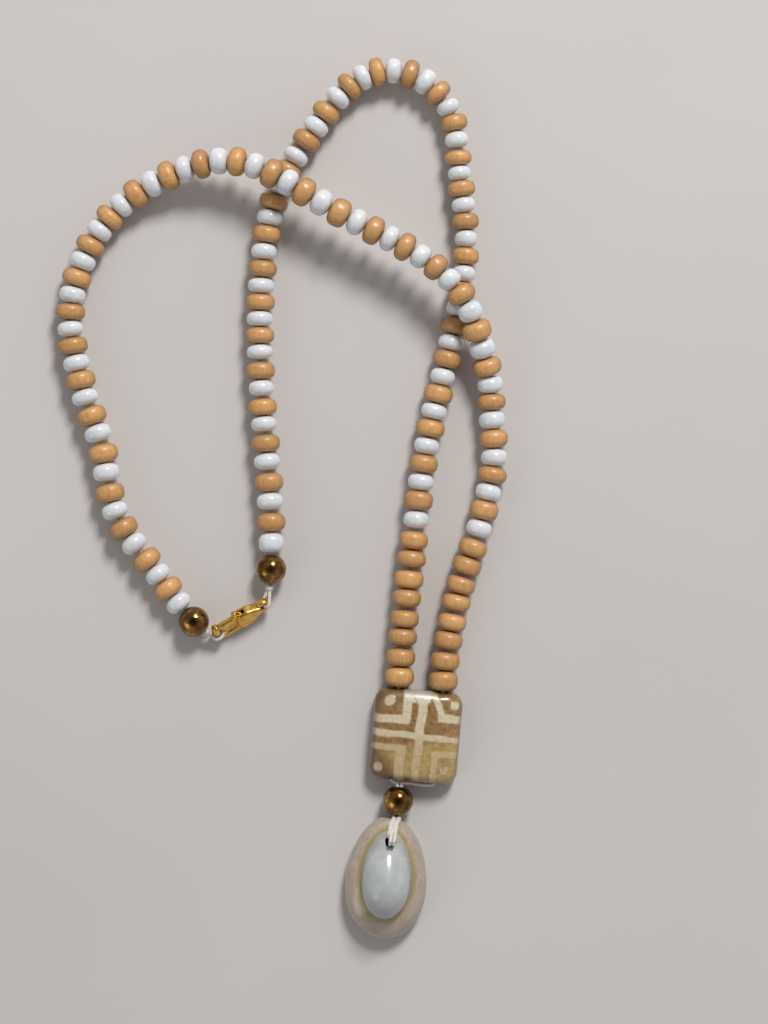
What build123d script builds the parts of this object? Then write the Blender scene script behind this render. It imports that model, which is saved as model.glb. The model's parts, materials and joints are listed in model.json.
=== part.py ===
# Beaded necklace with a square patterned tile bead and a cowrie shell pendant, lying on a flat surface.
# Two strands of beads run from the tile bead, cross each other twice and meet again at a sprung hook clasp.
# Units are millimetres, +Z is up, and the surface under the necklace is z = 0.
# The origin is the centre of the tile bead's flat back. +Y runs from the pendant towards the far loop.
from build123d import *
from math import cos, sin, radians, sqrt, degrees, acos
import os

os.makedirs("parts", exist_ok=True)

# ---------------------------------------------------------------- driving dimensions
BEAD_HOLE_R = 0.60  # bore of every wood and glass bead
WOOD_R = 2.85  # outer radius of a wood bead
WOOD_SIDE_R = 2.74  # radius where a wood bead's rounded shoulder ends
WOOD_CORNER = 1.25  # shoulder radius of a wood bead
WOOD_FLAT_R = WOOD_SIDE_R - WOOD_CORNER
GLASS_R = 2.50
GLASS_SIDE_R = 2.42
GLASS_CORNER = 1.40
GLASS_FLAT_R = GLASS_SIDE_R - GLASS_CORNER
BRASS_R = 3.05  # round brass-coloured beads
BRASS_HOLE_R = 0.90
THREAD_R = 0.33  # waxed thread, 0.66 mm thick
WOOD_NOMINAL = 3.75  # nominal bead lengths, which set where neighbours meet
GLASS_NOMINAL = 3.45
LONGEST_BEAD = 4.0
REST_GAP = 0.08  # smallest gap between neighbouring beads
FOLD_GAP = 0.46  # gap between the two beads on either side of a fold
THREAD_CUT = 0.10  # half the gap in a thread at a fold
PLAIN_BEADS = 8  # wood beads next to the tile on each strand, before glass and wood alternate

TILE_W, TILE_H = 17.5, 18.0
TILE_T = 5.9  # thickness at the crown
TILE_CORNER = 2.6
TILE_TURN = -5.0  # degrees about +Z
TILE_DOME_R = 45.0
TILE_HOLE_Z = 2.85
TILE_HOLE_X = (-4.2, 4.6)  # inner strand, outer strand
TILE_TOP_FILLET = 1.5
TILE_BACK_FILLET = 0.8

COWRIE_CENTRE = (-5.65, -28.65)
COWRIE_TURN = -4.2
COWRIE_HALF_W, COWRIE_HALF_L = 8.1, 12.3
COWRIE_HOLE = (0.3, 7.8)  # drilled hole, in the shell's own frame
COWRIE_HOLE_R = 1.0
APERTURE_DEPTH = 1.9  # the cavity starts below this, so the aperture opens into it

CLASP_ORIGIN = (-40.1, 20.55, 2.9)  # outer end of the hook
CLASP_HEADING = 29.7  # degrees about +Z
CLASP_ROLL = 60.0  # the clasp lies nearly on edge

# Bead centres along each strand, from the tile bead to the clasp end.
# The outer strand passes over the inner one at both crossings.
OUTER_STATIONS = [
    (5.41, 11.02, 2.85), (5.77, 15.18, 2.85), (6.40, 18.99, 2.85), (7.30, 22.84, 2.85),
    (7.97, 26.59, 2.85), (8.88, 30.21, 2.85), (10.06, 33.76, 2.85), (11.39, 37.45, 2.85),
    (12.62, 41.22, 2.85), (13.58, 44.98, 2.85), (14.44, 48.56, 2.85), (15.31, 52.02, 2.85),
    (15.78, 55.39, 2.85), (15.53, 59.02, 2.85), (15.07, 63.00, 2.85), (15.05, 66.59, 3.01),
    (14.94, 69.95, 3.42), (14.22, 73.38, 4.22), (13.09, 76.98, 5.41), (12.04, 80.52, 6.76),
    (10.81, 84.03, 8.00), (8.83, 87.56, 8.71), (6.62, 90.30, 8.69), (3.97, 92.77, 8.40),
    (0.97, 94.93, 8.17), (-2.22, 96.82, 8.02), (-5.13, 98.35, 7.93), (-8.34, 99.94, 7.88),
    (-11.59, 101.55, 7.88), (-15.07, 103.37, 7.97), (-18.69, 105.46, 8.16), (-22.15, 107.57, 8.35),
    (-25.15, 109.37, 8.43), (-28.46, 111.23, 8.34), (-31.71, 112.78, 8.02), (-35.17, 113.79, 7.51),
    (-38.85, 113.97, 6.85), (-42.43, 113.44, 6.08), (-45.67, 112.52, 5.34), (-48.96, 111.33, 4.62),
    (-52.31, 109.81, 3.97), (-55.69, 107.82, 3.41), (-58.55, 105.60, 3.06), (-60.89, 103.22, 2.85),
    (-62.95, 100.55, 2.85), (-64.74, 97.61, 2.85), (-66.24, 94.50, 2.85), (-67.47, 91.20, 2.85),
    (-68.34, 87.78, 2.85), (-68.78, 84.38, 2.85), (-68.75, 81.00, 2.85), (-68.24, 77.57, 2.85),
    (-67.47, 74.20, 2.85), (-66.64, 70.81, 2.85), (-65.79, 67.23, 2.85), (-64.51, 63.82, 2.85),
    (-63.00, 60.18, 2.85), (-62.06, 56.40, 2.85), (-61.52, 52.33, 2.85), (-60.94, 48.38, 2.85),
    (-59.92, 44.64, 2.85), (-58.33, 41.32, 2.85), (-55.97, 38.16, 2.85), (-53.39, 35.11, 2.85),
    (-51.23, 32.20, 2.85), (-49.31, 29.38, 2.85), (-47.16, 26.36, 2.85),
]
INNER_STATIONS = [
    (-3.30, 12.00, 2.85), (-2.99, 15.80, 2.85), (-2.62, 19.79, 2.85), (-2.25, 23.42, 2.85),
    (-1.80, 27.40, 2.85), (-1.34, 31.39, 2.85), (-0.88, 35.21, 2.85), (-0.42, 38.99, 2.85),
    (0.07, 43.02, 2.85), (0.55, 47.00, 2.85), (1.01, 50.57, 2.85), (1.53, 54.18, 2.85),
    (2.16, 57.81, 2.85), (2.86, 61.22, 2.85), (3.65, 64.65, 2.85), (4.46, 67.92, 2.85),
    (5.39, 71.53, 2.85), (6.27, 74.99, 2.85), (7.06, 78.27, 2.85), (7.81, 81.55, 2.85),
    (8.53, 85.00, 2.85), (9.15, 88.50, 2.85), (9.65, 92.03, 2.85), (9.96, 95.41, 2.85),
    (10.08, 98.91, 2.85), (9.93, 102.42, 2.85), (9.56, 105.59, 2.85), (9.06, 108.92, 2.85),
    (8.64, 111.91, 2.85), (8.38, 114.91, 2.85), (8.27, 118.41, 2.85), (7.83, 122.09, 2.85),
    (6.56, 125.27, 2.85), (4.60, 127.96, 2.85), (2.03, 130.22, 2.85), (-1.16, 131.88, 2.85),
    (-4.40, 132.54, 2.85), (-7.69, 132.21, 2.85), (-10.66, 131.09, 2.85), (-13.18, 129.39, 2.85),
    (-15.61, 126.94, 2.85), (-17.84, 124.03, 2.85), (-19.79, 121.22, 2.85), (-21.80, 118.35, 2.85),
    (-23.83, 115.39, 2.85), (-25.73, 112.27, 2.85), (-27.25, 109.20, 2.85), (-28.31, 106.23, 2.85),
    (-29.09, 103.19, 2.85), (-29.70, 99.83, 2.85), (-30.15, 96.39, 2.85), (-30.49, 92.90, 2.85),
    (-30.74, 89.58, 2.85), (-30.91, 86.30, 2.85), (-31.00, 83.02, 2.85), (-31.03, 79.70, 2.85),
    (-31.00, 76.38, 2.85), (-30.89, 72.79, 2.85), (-30.72, 69.11, 2.85), (-30.49, 65.51, 2.85),
    (-30.21, 62.00, 2.85), (-29.90, 58.41, 2.85), (-29.55, 54.57, 2.85), (-29.22, 50.57, 2.85),
    (-28.94, 46.61, 2.85), (-28.75, 42.69, 2.85), (-28.67, 38.60, 2.85),
]

# Last bead, and brass bead, of each strand
OUTER_BRASS = Vector(-44.09, 22.81, BRASS_R)
INNER_BRASS = Vector(-28.75, 33.20, BRASS_R)
OUTER_BRASS_AXIS = Vector(0.71, -0.704, 0.0).normalized()
INNER_BRASS_AXIS = Vector(-0.09, -0.996, 0.0).normalized()

# Folds: (bead before the fold on the outer strand, the same on the inner strand).
PENDANT_FOLDS = [7, 5, 3, 1]  # the same bead number on both strands
TAIL_FOLDS = [(54, 56), (56, 58), (58, 60), (60, 62), (62, 64)]
LOOP_FOLDS = [(29, 43), (32, 40)]  # both on the inner strand


def is_wood(i):
    """True for a wood bead: the plain beads by the tile, then every second bead."""
    return i < PLAIN_BEADS or i % 2 == 1


class Strand:
    """One strand: joints between neighbouring beads, the folds among them, and each bead's axis and length."""

    def __init__(self, stations, start, brass, folds):
        self.c = [Vector(*p) for p in stations]
        self.n = len(self.c)
        self.folds = set(folds)
        self.g = [start]
        for i in range(self.n - 1):
            a = WOOD_NOMINAL if is_wood(i) else GLASS_NOMINAL
            b = WOOD_NOMINAL if is_wood(i + 1) else GLASS_NOMINAL
            self.g.append(self.c[i] + (self.c[i + 1] - self.c[i]) * (a / (a + b)))
        self.g.append(brass - (brass - self.c[-1]).normalized() * (sqrt(BRASS_R**2 - BRASS_HOLE_R**2) + 0.12))
        self.axis = [(self.g[i + 1] - self.g[i]).normalized() for i in range(self.n)]

    def half_gap(self, k):
        """Half the gap at joint k, which lies between beads k-1 and k."""
        if k == 0 or k - 1 in self.folds:
            return FOLD_GAP / 2
        if k == self.n:
            return REST_GAP / 2
        bend = acos(min(1.0, self.axis[k - 1].dot(self.axis[k])))
        flat = min(
            WOOD_FLAT_R if is_wood(k - 1) else GLASS_FLAT_R,
            WOOD_FLAT_R if is_wood(k) else GLASS_FLAT_R,
        )
        return REST_GAP / 2 + (flat + 0.3) * sin(bend / 2)

    def bead(self, i):
        """Centre, axis and length of bead i."""
        a = self.g[i] + self.axis[i] * self.half_gap(i)
        b = self.g[i + 1] - self.axis[i] * self.half_gap(i + 1)
        length = min(LONGEST_BEAD, (b - a).length)
        return (a + b) * 0.5, self.axis[i], length

    def thread(self, first, last, cut_first=True, cut_last=True):
        """Points of the thread through beads first to last."""
        pts = []
        for i in range(first, last + 1):
            axis = self.axis[i]
            if i == first:
                pts.append(self.g[i] + axis * (THREAD_CUT if cut_first else 0.0))
            end = self.g[i + 1]
            pts.append(end - axis * THREAD_CUT if i == last and cut_last else end)
        return pts


def add_beads(strand, first, last, wood):
    """Adds beads first to last of one kind to the part being built, each its own solid."""
    side, corner, outer = (WOOD_SIDE_R, WOOD_CORNER, WOOD_R) if wood else (GLASS_SIDE_R, GLASS_CORNER, GLASS_R)
    made = []
    for i in range(first, last + 1):
        if is_wood(i) != wood:
            continue
        centre, axis, length = strand.bead(i)
        h = length / 2
        c = min(corner, h - 0.25)
        flat = side - c
        k = sqrt(0.5)
        across = Vector(0, 0, 1).cross(axis).normalized()
        plane = Plane(origin=centre, x_dir=across, z_dir=across.cross(axis))
        with BuildSketch(plane, mode=Mode.PRIVATE) as profile:
            with BuildLine():
                Line((BEAD_HOLE_R, -h), (flat, -h))
                ThreePointArc((flat, -h), (flat + c * k, -h + c * (1 - k)), (side, -h + c))
                ThreePointArc((side, -h + c), (outer, 0), (side, h - c))
                ThreePointArc((side, h - c), (flat + c * k, h - c * (1 - k)), (flat, h))
                Line((flat, h), (BEAD_HOLE_R, h))
                Line((BEAD_HOLE_R, h), (BEAD_HOLE_R, -h))
            make_face()
        made.append(revolve(profile.sketch, axis=Axis(centre, axis), mode=Mode.PRIVATE))
    add(made)


def add_thread(points, radius=THREAD_R):
    """Adds a round thread through the points to the part being built, with one section at each point."""
    along = [(points[1] - points[0]).normalized()]
    for k in range(1, len(points) - 1):
        along.append(((points[k] - points[k - 1]).normalized() + (points[k + 1] - points[k]).normalized()).normalized())
    along.append((points[-1] - points[-2]).normalized())
    across = along[0].cross(Vector(0.1, 0.2, 1)).normalized()
    sections = []
    for point, direction in zip(points, along):
        across = (across - direction * across.dot(direction)).normalized()  # carried along without twisting
        with BuildSketch(Plane(origin=point, x_dir=across, z_dir=direction), mode=Mode.PRIVATE) as section:
            Circle(radius)
        sections.append(section.sketch)
    add(loft(sections, ruled=True, mode=Mode.PRIVATE))


def smooth(points, steps=3):
    """Points along a smooth curve through the given points."""
    with BuildLine(mode=Mode.PRIVATE) as path:
        Spline(*points)
    curve = path.line.edges()[0]
    count = steps * (len(points) - 1)
    return [curve @ (k / count) for k in range(count + 1)]


def write(part, name):
    part.part.label = name
    export_step(part.part, "parts/" + name + ".step")


# ---------------------------------------------------------------- frames of the tile bead, shell and clasp
tile_frame = Plane(
    origin=(0, 0, 0),
    x_dir=(cos(radians(TILE_TURN)), sin(radians(TILE_TURN)), 0),
    z_dir=(0, 0, 1),
)
cowrie_frame = Plane(
    origin=(COWRIE_CENTRE[0], COWRIE_CENTRE[1], 0),
    x_dir=(cos(radians(COWRIE_TURN)), sin(radians(COWRIE_TURN)), 0),
    z_dir=(0, 0, 1),
)
_h, _r = radians(CLASP_HEADING), radians(CLASP_ROLL)
CLASP_U = Vector(cos(_h), sin(_h), 0)
CLASP_N = Vector(-sin(_h), cos(_h), 0)
CLASP_V = CLASP_N * cos(_r) + Vector(0, 0, 1) * sin(_r)
CLASP_W = CLASP_U.cross(CLASP_V)
clasp_frame = Plane(origin=CLASP_ORIGIN, x_dir=CLASP_U, z_dir=CLASP_W)


def on_tile(x, y, z):
    return tile_frame.from_local_coords(Vector(x, y, z))


def on_cowrie(x, y, z):
    return cowrie_frame.from_local_coords(Vector(x, y, z))


def on_clasp(u, v, w):
    return clasp_frame.from_local_coords(Vector(u, v, w))


inner = Strand(
    INNER_STATIONS,
    on_tile(TILE_HOLE_X[0], TILE_H / 2 + 0.28, TILE_HOLE_Z),
    INNER_BRASS,
    PENDANT_FOLDS + [f[1] for f in TAIL_FOLDS] + [k for f in LOOP_FOLDS for k in f],
)
outer = Strand(
    OUTER_STATIONS,
    on_tile(TILE_HOLE_X[1], TILE_H / 2 + 0.28, TILE_HOLE_Z),
    OUTER_BRASS,
    PENDANT_FOLDS + [f[0] for f in TAIL_FOLDS],
)
LAST = outer.n - 1

# ---------------------------------------------------------------- strands that stay put as laid (root body)
OUTER_RUN = (PENDANT_FOLDS[0] + 1, TAIL_FOLDS[0][0])
INNER_RUN_1 = (PENDANT_FOLDS[0] + 1, LOOP_FOLDS[0][0])
INNER_RUN_2 = (LOOP_FOLDS[0][1] + 1, TAIL_FOLDS[0][1])

with BuildPart() as outer_wood_beads:
    add_beads(outer, *OUTER_RUN, True)
write(outer_wood_beads, "outer_wood_beads")

with BuildPart() as outer_glass_beads:
    add_beads(outer, *OUTER_RUN, False)
write(outer_glass_beads, "outer_glass_beads")

with BuildPart() as outer_thread:
    add_thread(outer.thread(*OUTER_RUN))
write(outer_thread, "outer_thread")

with BuildPart() as inner_wood_beads:
    add_beads(inner, *INNER_RUN_1, True)
    add_beads(inner, *INNER_RUN_2, True)
write(inner_wood_beads, "inner_wood_beads")

with BuildPart() as inner_glass_beads:
    add_beads(inner, *INNER_RUN_1, False)
    add_beads(inner, *INNER_RUN_2, False)
write(inner_glass_beads, "inner_glass_beads")

with BuildPart() as inner_thread:
    add_thread(inner.thread(*INNER_RUN_1))
    add_thread(inner.thread(*INNER_RUN_2))
write(inner_thread, "inner_thread")

# ---------------------------------------------------------------- pendant end: four links of two wood beads a strand
for number, fold in enumerate(PENDANT_FOLDS, 1):
    first = fold - 1
    with BuildPart() as link_beads:
        add_beads(outer, first, fold, True)
        add_beads(inner, first, fold, True)
    write(link_beads, "pendant_link_%d_wood_beads" % number)
    with BuildPart() as link_threads:
        add_thread(outer.thread(first, fold))
        add_thread(inner.thread(first, fold))
    write(link_threads, "pendant_link_%d_threads" % number)

# ---------------------------------------------------------------- far loop of the inner strand: two stages
with BuildPart() as loop_shoulder_wood_beads:
    add_beads(inner, LOOP_FOLDS[0][0] + 1, LOOP_FOLDS[1][0], True)
    add_beads(inner, LOOP_FOLDS[1][1] + 1, LOOP_FOLDS[0][1], True)
write(loop_shoulder_wood_beads, "loop_shoulder_wood_beads")

with BuildPart() as loop_shoulder_glass_beads:
    add_beads(inner, LOOP_FOLDS[0][0] + 1, LOOP_FOLDS[1][0], False)
    add_beads(inner, LOOP_FOLDS[1][1] + 1, LOOP_FOLDS[0][1], False)
write(loop_shoulder_glass_beads, "loop_shoulder_glass_beads")

with BuildPart() as loop_shoulder_threads:
    add_thread(inner.thread(LOOP_FOLDS[0][0] + 1, LOOP_FOLDS[1][0]))
    add_thread(inner.thread(LOOP_FOLDS[1][1] + 1, LOOP_FOLDS[0][1]))
write(loop_shoulder_threads, "loop_shoulder_threads")

with BuildPart() as loop_crown_wood_beads:
    add_beads(inner, LOOP_FOLDS[1][0] + 1, LOOP_FOLDS[1][1], True)
write(loop_crown_wood_beads, "loop_crown_wood_beads")

with BuildPart() as loop_crown_glass_beads:
    add_beads(inner, LOOP_FOLDS[1][0] + 1, LOOP_FOLDS[1][1], False)
write(loop_crown_glass_beads, "loop_crown_glass_beads")

with BuildPart() as loop_crown_thread:
    add_thread(inner.thread(LOOP_FOLDS[1][0] + 1, LOOP_FOLDS[1][1]))
write(loop_crown_thread, "loop_crown_thread")

# ---------------------------------------------------------------- clasp end: four links, then the end with the clasp
for number in range(1, len(TAIL_FOLDS)):
    o, i = TAIL_FOLDS[number - 1], TAIL_FOLDS[number]
    with BuildPart() as tail_wood:
        add_beads(outer, o[0] + 1, i[0], True)
        add_beads(inner, o[1] + 1, i[1], True)
    write(tail_wood, "tail_link_%d_wood_beads" % number)
    with BuildPart() as tail_glass:
        add_beads(outer, o[0] + 1, i[0], False)
        add_beads(inner, o[1] + 1, i[1], False)
    write(tail_glass, "tail_link_%d_glass_beads" % number)
    with BuildPart() as tail_threads:
        add_thread(outer.thread(o[0] + 1, i[0]))
        add_thread(inner.thread(o[1] + 1, i[1]))
    write(tail_threads, "tail_link_%d_threads" % number)

with BuildPart() as tail_end_wood_beads:
    add_beads(outer, TAIL_FOLDS[-1][0] + 1, LAST, True)
    add_beads(inner, TAIL_FOLDS[-1][1] + 1, LAST, True)
write(tail_end_wood_beads, "tail_end_wood_beads")

with BuildPart() as tail_end_glass_beads:
    add_beads(outer, TAIL_FOLDS[-1][0] + 1, LAST, False)
    add_beads(inner, TAIL_FOLDS[-1][1] + 1, LAST, False)
write(tail_end_glass_beads, "tail_end_glass_beads")

# ---------------------------------------------------------------- clasp: sprung hook with a thumb lever
CLASP_T = 0.95  # half thickness of the hook's body
HOOK_T = 0.60  # half thickness of the hook's arm
EYE = (11.2, 0.0)
EYE_R, EYE_HOLE_R, EYE_T = 1.45, 0.80, 0.45
PIVOT = (6.3, 0.9)
PIN_R = 0.35
LEVER_T = 0.45
SLOT_T = 0.52

# outline of the arm, bent round the mouth
ARM_OUTLINE = [
    (5.0, -1.35), (3.4, -1.72), (1.9, -1.55), (1.15, -0.9), (1.1, 0.2), (1.25, 1.15), (1.1, 1.7), (0.6, 1.75), (0.2, 1.2),
    (0.0, 0.0), (0.05, -1.0), (0.5, -1.95), (1.4, -2.55), (2.8, -2.8), (4.4, -2.8), (6.2, -2.5), (7.0, -1.6), (6.2, -1.2),
]
# outline of the housing that holds the lever's root and spring
HOUSING_OUTLINE = [
    (5.35, -0.2), (5.25, -1.4), (5.6, -2.35), (6.6, -2.5), (8.0, -2.1), (9.2, -1.25), (10.0, -0.75), (10.6, -0.4), (10.6, 0.4),
    (10.0, 0.75), (9.2, 1.15), (8.2, 1.6), (6.9, 1.8), (5.9, 1.6), (5.45, 0.9),
]
LEVER_OUTLINE = [
    (1.25, 1.05), (1.4, 0.62), (2.2, 0.5), (3.8, 0.42), (5.4, 0.28), (6.2, 0.0), (6.85, 0.1), (7.05, 0.85), (6.75, 1.5),
    (6.2, 1.85), (5.95, 2.5), (5.65, 3.0), (5.2, 3.0), (5.0, 2.5), (4.9, 1.85), (4.0, 1.62), (2.5, 1.62), (1.6, 1.5),
]

with BuildPart() as hook_arm:
    with BuildSketch(clasp_frame):
        with BuildLine():
            Spline(*ARM_OUTLINE, periodic=True)
        make_face()
    extrude(amount=HOOK_T, both=True)
    fillet(hook_arm.edges(), 0.2)

with BuildPart() as hook_housing:
    with BuildSketch(clasp_frame):
        with BuildLine():
            Spline(*HOUSING_OUTLINE, periodic=True)
        make_face()
    extrude(amount=CLASP_T, both=True)
    fillet(hook_housing.edges(), 0.35)

with BuildPart() as clasp_hook:
    add(hook_arm.part)
    add(hook_housing.part)
    # eye
    with BuildSketch(clasp_frame):
        with Locations(EYE):
            Circle(EYE_R)
    extrude(amount=EYE_T, both=True)
    with BuildSketch(clasp_frame):
        with Locations(EYE):
            Circle(EYE_HOLE_R)
    extrude(amount=3, both=True, mode=Mode.SUBTRACT)
    # slot for the lever's root and the spring
    with BuildSketch(clasp_frame):
        with BuildLine():
            Polyline((4.6, 2.6), (4.6, -0.45), (8.7, -0.45), (8.7, 0.8), (7.6, 1.2), (7.4, 2.6), (4.6, 2.6))
        make_face()
    extrude(amount=SLOT_T, both=True, mode=Mode.SUBTRACT)
    # hole for the rivet
    with BuildSketch(clasp_frame):
        with Locations(PIVOT):
            Circle(PIN_R)
    extrude(amount=3, both=True, mode=Mode.SUBTRACT)
write(clasp_hook, "clasp_hook")

with BuildPart() as clasp_lever:
    with BuildSketch(clasp_frame):
        with BuildLine():
            Spline(*LEVER_OUTLINE, periodic=True)
        make_face()
    extrude(amount=LEVER_T, both=True)
    fillet(clasp_lever.edges(), 0.2)
    with BuildSketch(clasp_frame):
        with Locations(PIVOT):
            Circle(PIN_R + 0.05)
    extrude(amount=3, both=True, mode=Mode.SUBTRACT)
write(clasp_lever, "clasp_lever")

with BuildPart() as clasp_rivet:
    with BuildSketch(clasp_frame):
        with Locations(PIVOT):
            Circle(PIN_R)
    extrude(amount=CLASP_T + 0.12, both=True)
write(clasp_rivet, "clasp_rivet")

SPRING_R, WIRE_R, SPRING_LEN, SPRING_TURNS = 0.34, 0.07, 1.45, 4
spring_frame = Plane(origin=on_clasp(7.17, 0.35, 0), x_dir=CLASP_W, z_dir=CLASP_U)
with BuildPart() as clasp_spring:
    with BuildLine(mode=Mode.PRIVATE) as coil:
        Helix(pitch=(SPRING_LEN - 2 * WIRE_R) / SPRING_TURNS, height=SPRING_LEN - 2 * WIRE_R, radius=SPRING_R)
    coil_path = coil.line.edges()[0].moved(spring_frame.location)
    with BuildSketch(Plane(origin=coil_path @ 0, z_dir=coil_path % 0), mode=Mode.PRIVATE) as wire:
        Circle(WIRE_R)
    add(sweep(wire.sketch, path=coil_path, is_frenet=True, mode=Mode.PRIVATE))
write(clasp_spring, "clasp_spring")

# ---------------------------------------------------------------- threads at the clasp end, with their knots and loops
LOOP_V = -0.95  # where the outer strand's loop sits on the hook
with BuildPart() as tail_end_threads:
    # outer strand: through the last beads and the brass bead to a knot, then a loop round the hook's arm
    knot = on_clasp(-1.15, LOOP_V, 0)
    add_thread(outer.thread(TAIL_FOLDS[-1][0] + 1, LAST, True, False) + [OUTER_BRASS, OUTER_BRASS + OUTER_BRASS_AXIS * 2.75, knot])
    add_thread(
        smooth(
            [
                on_clasp(u, LOOP_V, w)
                for u, w in [
                    (-1.1, -0.15), (-0.35, -0.85), (0.5, -1.25), (1.3, -0.85), (1.62, 0.0), (1.3, 0.85), (0.5, 1.25), (-0.35, 0.85), (-1.1, 0.15),
                ]
            ]
        )
    )
    with Locations(Location(knot)):
        Sphere(0.75)
    # inner strand: the same, to a knot and a loop through the clasp's eye
    knot = INNER_BRASS + INNER_BRASS_AXIS * 3.75
    add_thread(inner.thread(TAIL_FOLDS[-1][1] + 1, LAST, True, False) + [INNER_BRASS, INNER_BRASS + INNER_BRASS_AXIS * 2.75, knot])
    eye = on_clasp(EYE[0], EYE[1], 0)
    pull = (knot - eye).normalized()
    lean = pull - CLASP_W * pull.dot(CLASP_W)
    lean = lean.normalized()
    add_thread(
        smooth(
            [
                knot,
                eye + lean * 1.75 - CLASP_W * 1.5,
                eye + lean * 0.75 - CLASP_W * 1.15,
                eye + lean * 0.08 - CLASP_W * 0.55,
                eye + lean * 0.0 + CLASP_W * 0.1,
                eye + lean * 0.25 + CLASP_W * 0.85,
                eye + lean * 1.1 + CLASP_W * 1.2,
                eye + lean * 1.95 + CLASP_W * 0.75,
                eye + lean * 2.35 - CLASP_W * 0.3,
                knot + CLASP_W * 0.1,
            ]
        )
    )
    with Locations(Location(knot)):
        Sphere(0.75)
write(tail_end_threads, "tail_end_threads")

# ---------------------------------------------------------------- brass beads
def add_brass(centre, axis):
    across = Vector(0, 0, 1)
    with BuildSketch(Plane(origin=centre, x_dir=across, z_dir=across.cross(axis)), mode=Mode.PRIVATE) as profile:
        h = sqrt(BRASS_R**2 - BRASS_HOLE_R**2)
        with BuildLine():
            ThreePointArc((BRASS_HOLE_R, -h), (BRASS_R, 0), (BRASS_HOLE_R, h))
            Line((BRASS_HOLE_R, h), (BRASS_HOLE_R, -h))
        make_face()
    add(revolve(profile.sketch, axis=Axis(centre, axis), mode=Mode.PRIVATE))


with BuildPart() as outer_brass_bead:
    add_brass(OUTER_BRASS, OUTER_BRASS_AXIS)
write(outer_brass_bead, "outer_brass_bead")

with BuildPart() as inner_brass_bead:
    add_brass(INNER_BRASS, INNER_BRASS_AXIS)
write(inner_brass_bead, "inner_brass_bead")

# the pendant's brass bead, below the tile bead
DROP_LOCAL = (-2.39, -9.42)  # where the two threads meet, in the tile's frame
DROP_POINT = on_tile(DROP_LOCAL[0], DROP_LOCAL[1], BRASS_R)
PENDANT_BRASS = on_tile(DROP_LOCAL[0], -13.05, BRASS_R)
PENDANT_AXIS = (PENDANT_BRASS - DROP_POINT).normalized()
SHELL_POINT = PENDANT_BRASS + PENDANT_AXIS * 3.3  # where the shell's loop leaves the brass bead
with BuildPart() as pendant_brass_bead:
    add_brass(PENDANT_BRASS, PENDANT_AXIS)
write(pendant_brass_bead, "pendant_brass_bead")

# ---------------------------------------------------------------- tile bead: rounded square, flat back, domed face, two bores
with BuildPart() as tile_bead:
    with BuildSketch(tile_frame):
        RectangleRounded(TILE_W, TILE_H, TILE_CORNER)
    extrude(amount=TILE_T + 1)
    with Locations((0, 0, TILE_T - TILE_DOME_R)):
        Sphere(TILE_DOME_R, mode=Mode.INTERSECT)
    fillet(tile_bead.faces().sort_by(Axis.Z)[-1].edges(), TILE_TOP_FILLET)
    fillet(tile_bead.faces().sort_by(Axis.Z)[0].edges(), TILE_BACK_FILLET)
    with BuildSketch(Plane(origin=on_tile(0, 0, TILE_HOLE_Z), x_dir=tile_frame.x_dir, z_dir=tile_frame.y_dir)):
        with Locations((TILE_HOLE_X[0], 0), (TILE_HOLE_X[1], 0)):
            Circle(BEAD_HOLE_R)
    extrude(amount=TILE_H, both=True, mode=Mode.SUBTRACT)
write(tile_bead, "tile_bead")

with BuildPart() as tile_threads:
    # the inner strand's thread leaves the tile and turns to the pendant
    x = TILE_HOLE_X[0]
    add_thread(
        [on_tile(x, TILE_H / 2 + 0.18, TILE_HOLE_Z)]
        + smooth(
            [
                on_tile(x, -TILE_H / 2 + 0.9, TILE_HOLE_Z),
                on_tile(x + 0.02, -TILE_H / 2 + 0.35, TILE_HOLE_Z),
                on_tile(x + 0.45, -TILE_H / 2 - 0.25, TILE_HOLE_Z),
                on_tile(DROP_LOCAL[0] - 0.45, DROP_LOCAL[1] - 0.02, BRASS_R),
            ]
        )
    )
    # the outer strand's thread runs along the tile's edge to the same point
    x = TILE_HOLE_X[1]
    add_thread(
        [on_tile(x, TILE_H / 2 + 0.18, TILE_HOLE_Z)]
        + smooth(
            [
                on_tile(x, -TILE_H / 2 + 0.9, TILE_HOLE_Z),
                on_tile(x - 0.02, -TILE_H / 2 + 0.45, TILE_HOLE_Z),
                on_tile(x - 0.35, -TILE_H / 2 - 0.2, TILE_HOLE_Z),
                on_tile(x - 1.2, DROP_LOCAL[1], TILE_HOLE_Z),
                on_tile(x - 3.6, DROP_LOCAL[1], TILE_HOLE_Z),
                on_tile(DROP_LOCAL[0] + 0.40, DROP_LOCAL[1], BRASS_R),
            ]
        )
    )
write(tile_threads, "tile_threads")

# the two threads through the pendant's brass bead
with BuildPart() as drop_threads:
    side = PENDANT_AXIS.cross(Vector(0, 0, 1)) * 0.36
    for s in (-1, 1):
        add_thread([DROP_POINT + PENDANT_AXIS * 0.52 + side * s, PENDANT_BRASS + side * s, SHELL_POINT - PENDANT_AXIS * 0.35 + side * s])
write(drop_threads, "drop_threads")

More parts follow.
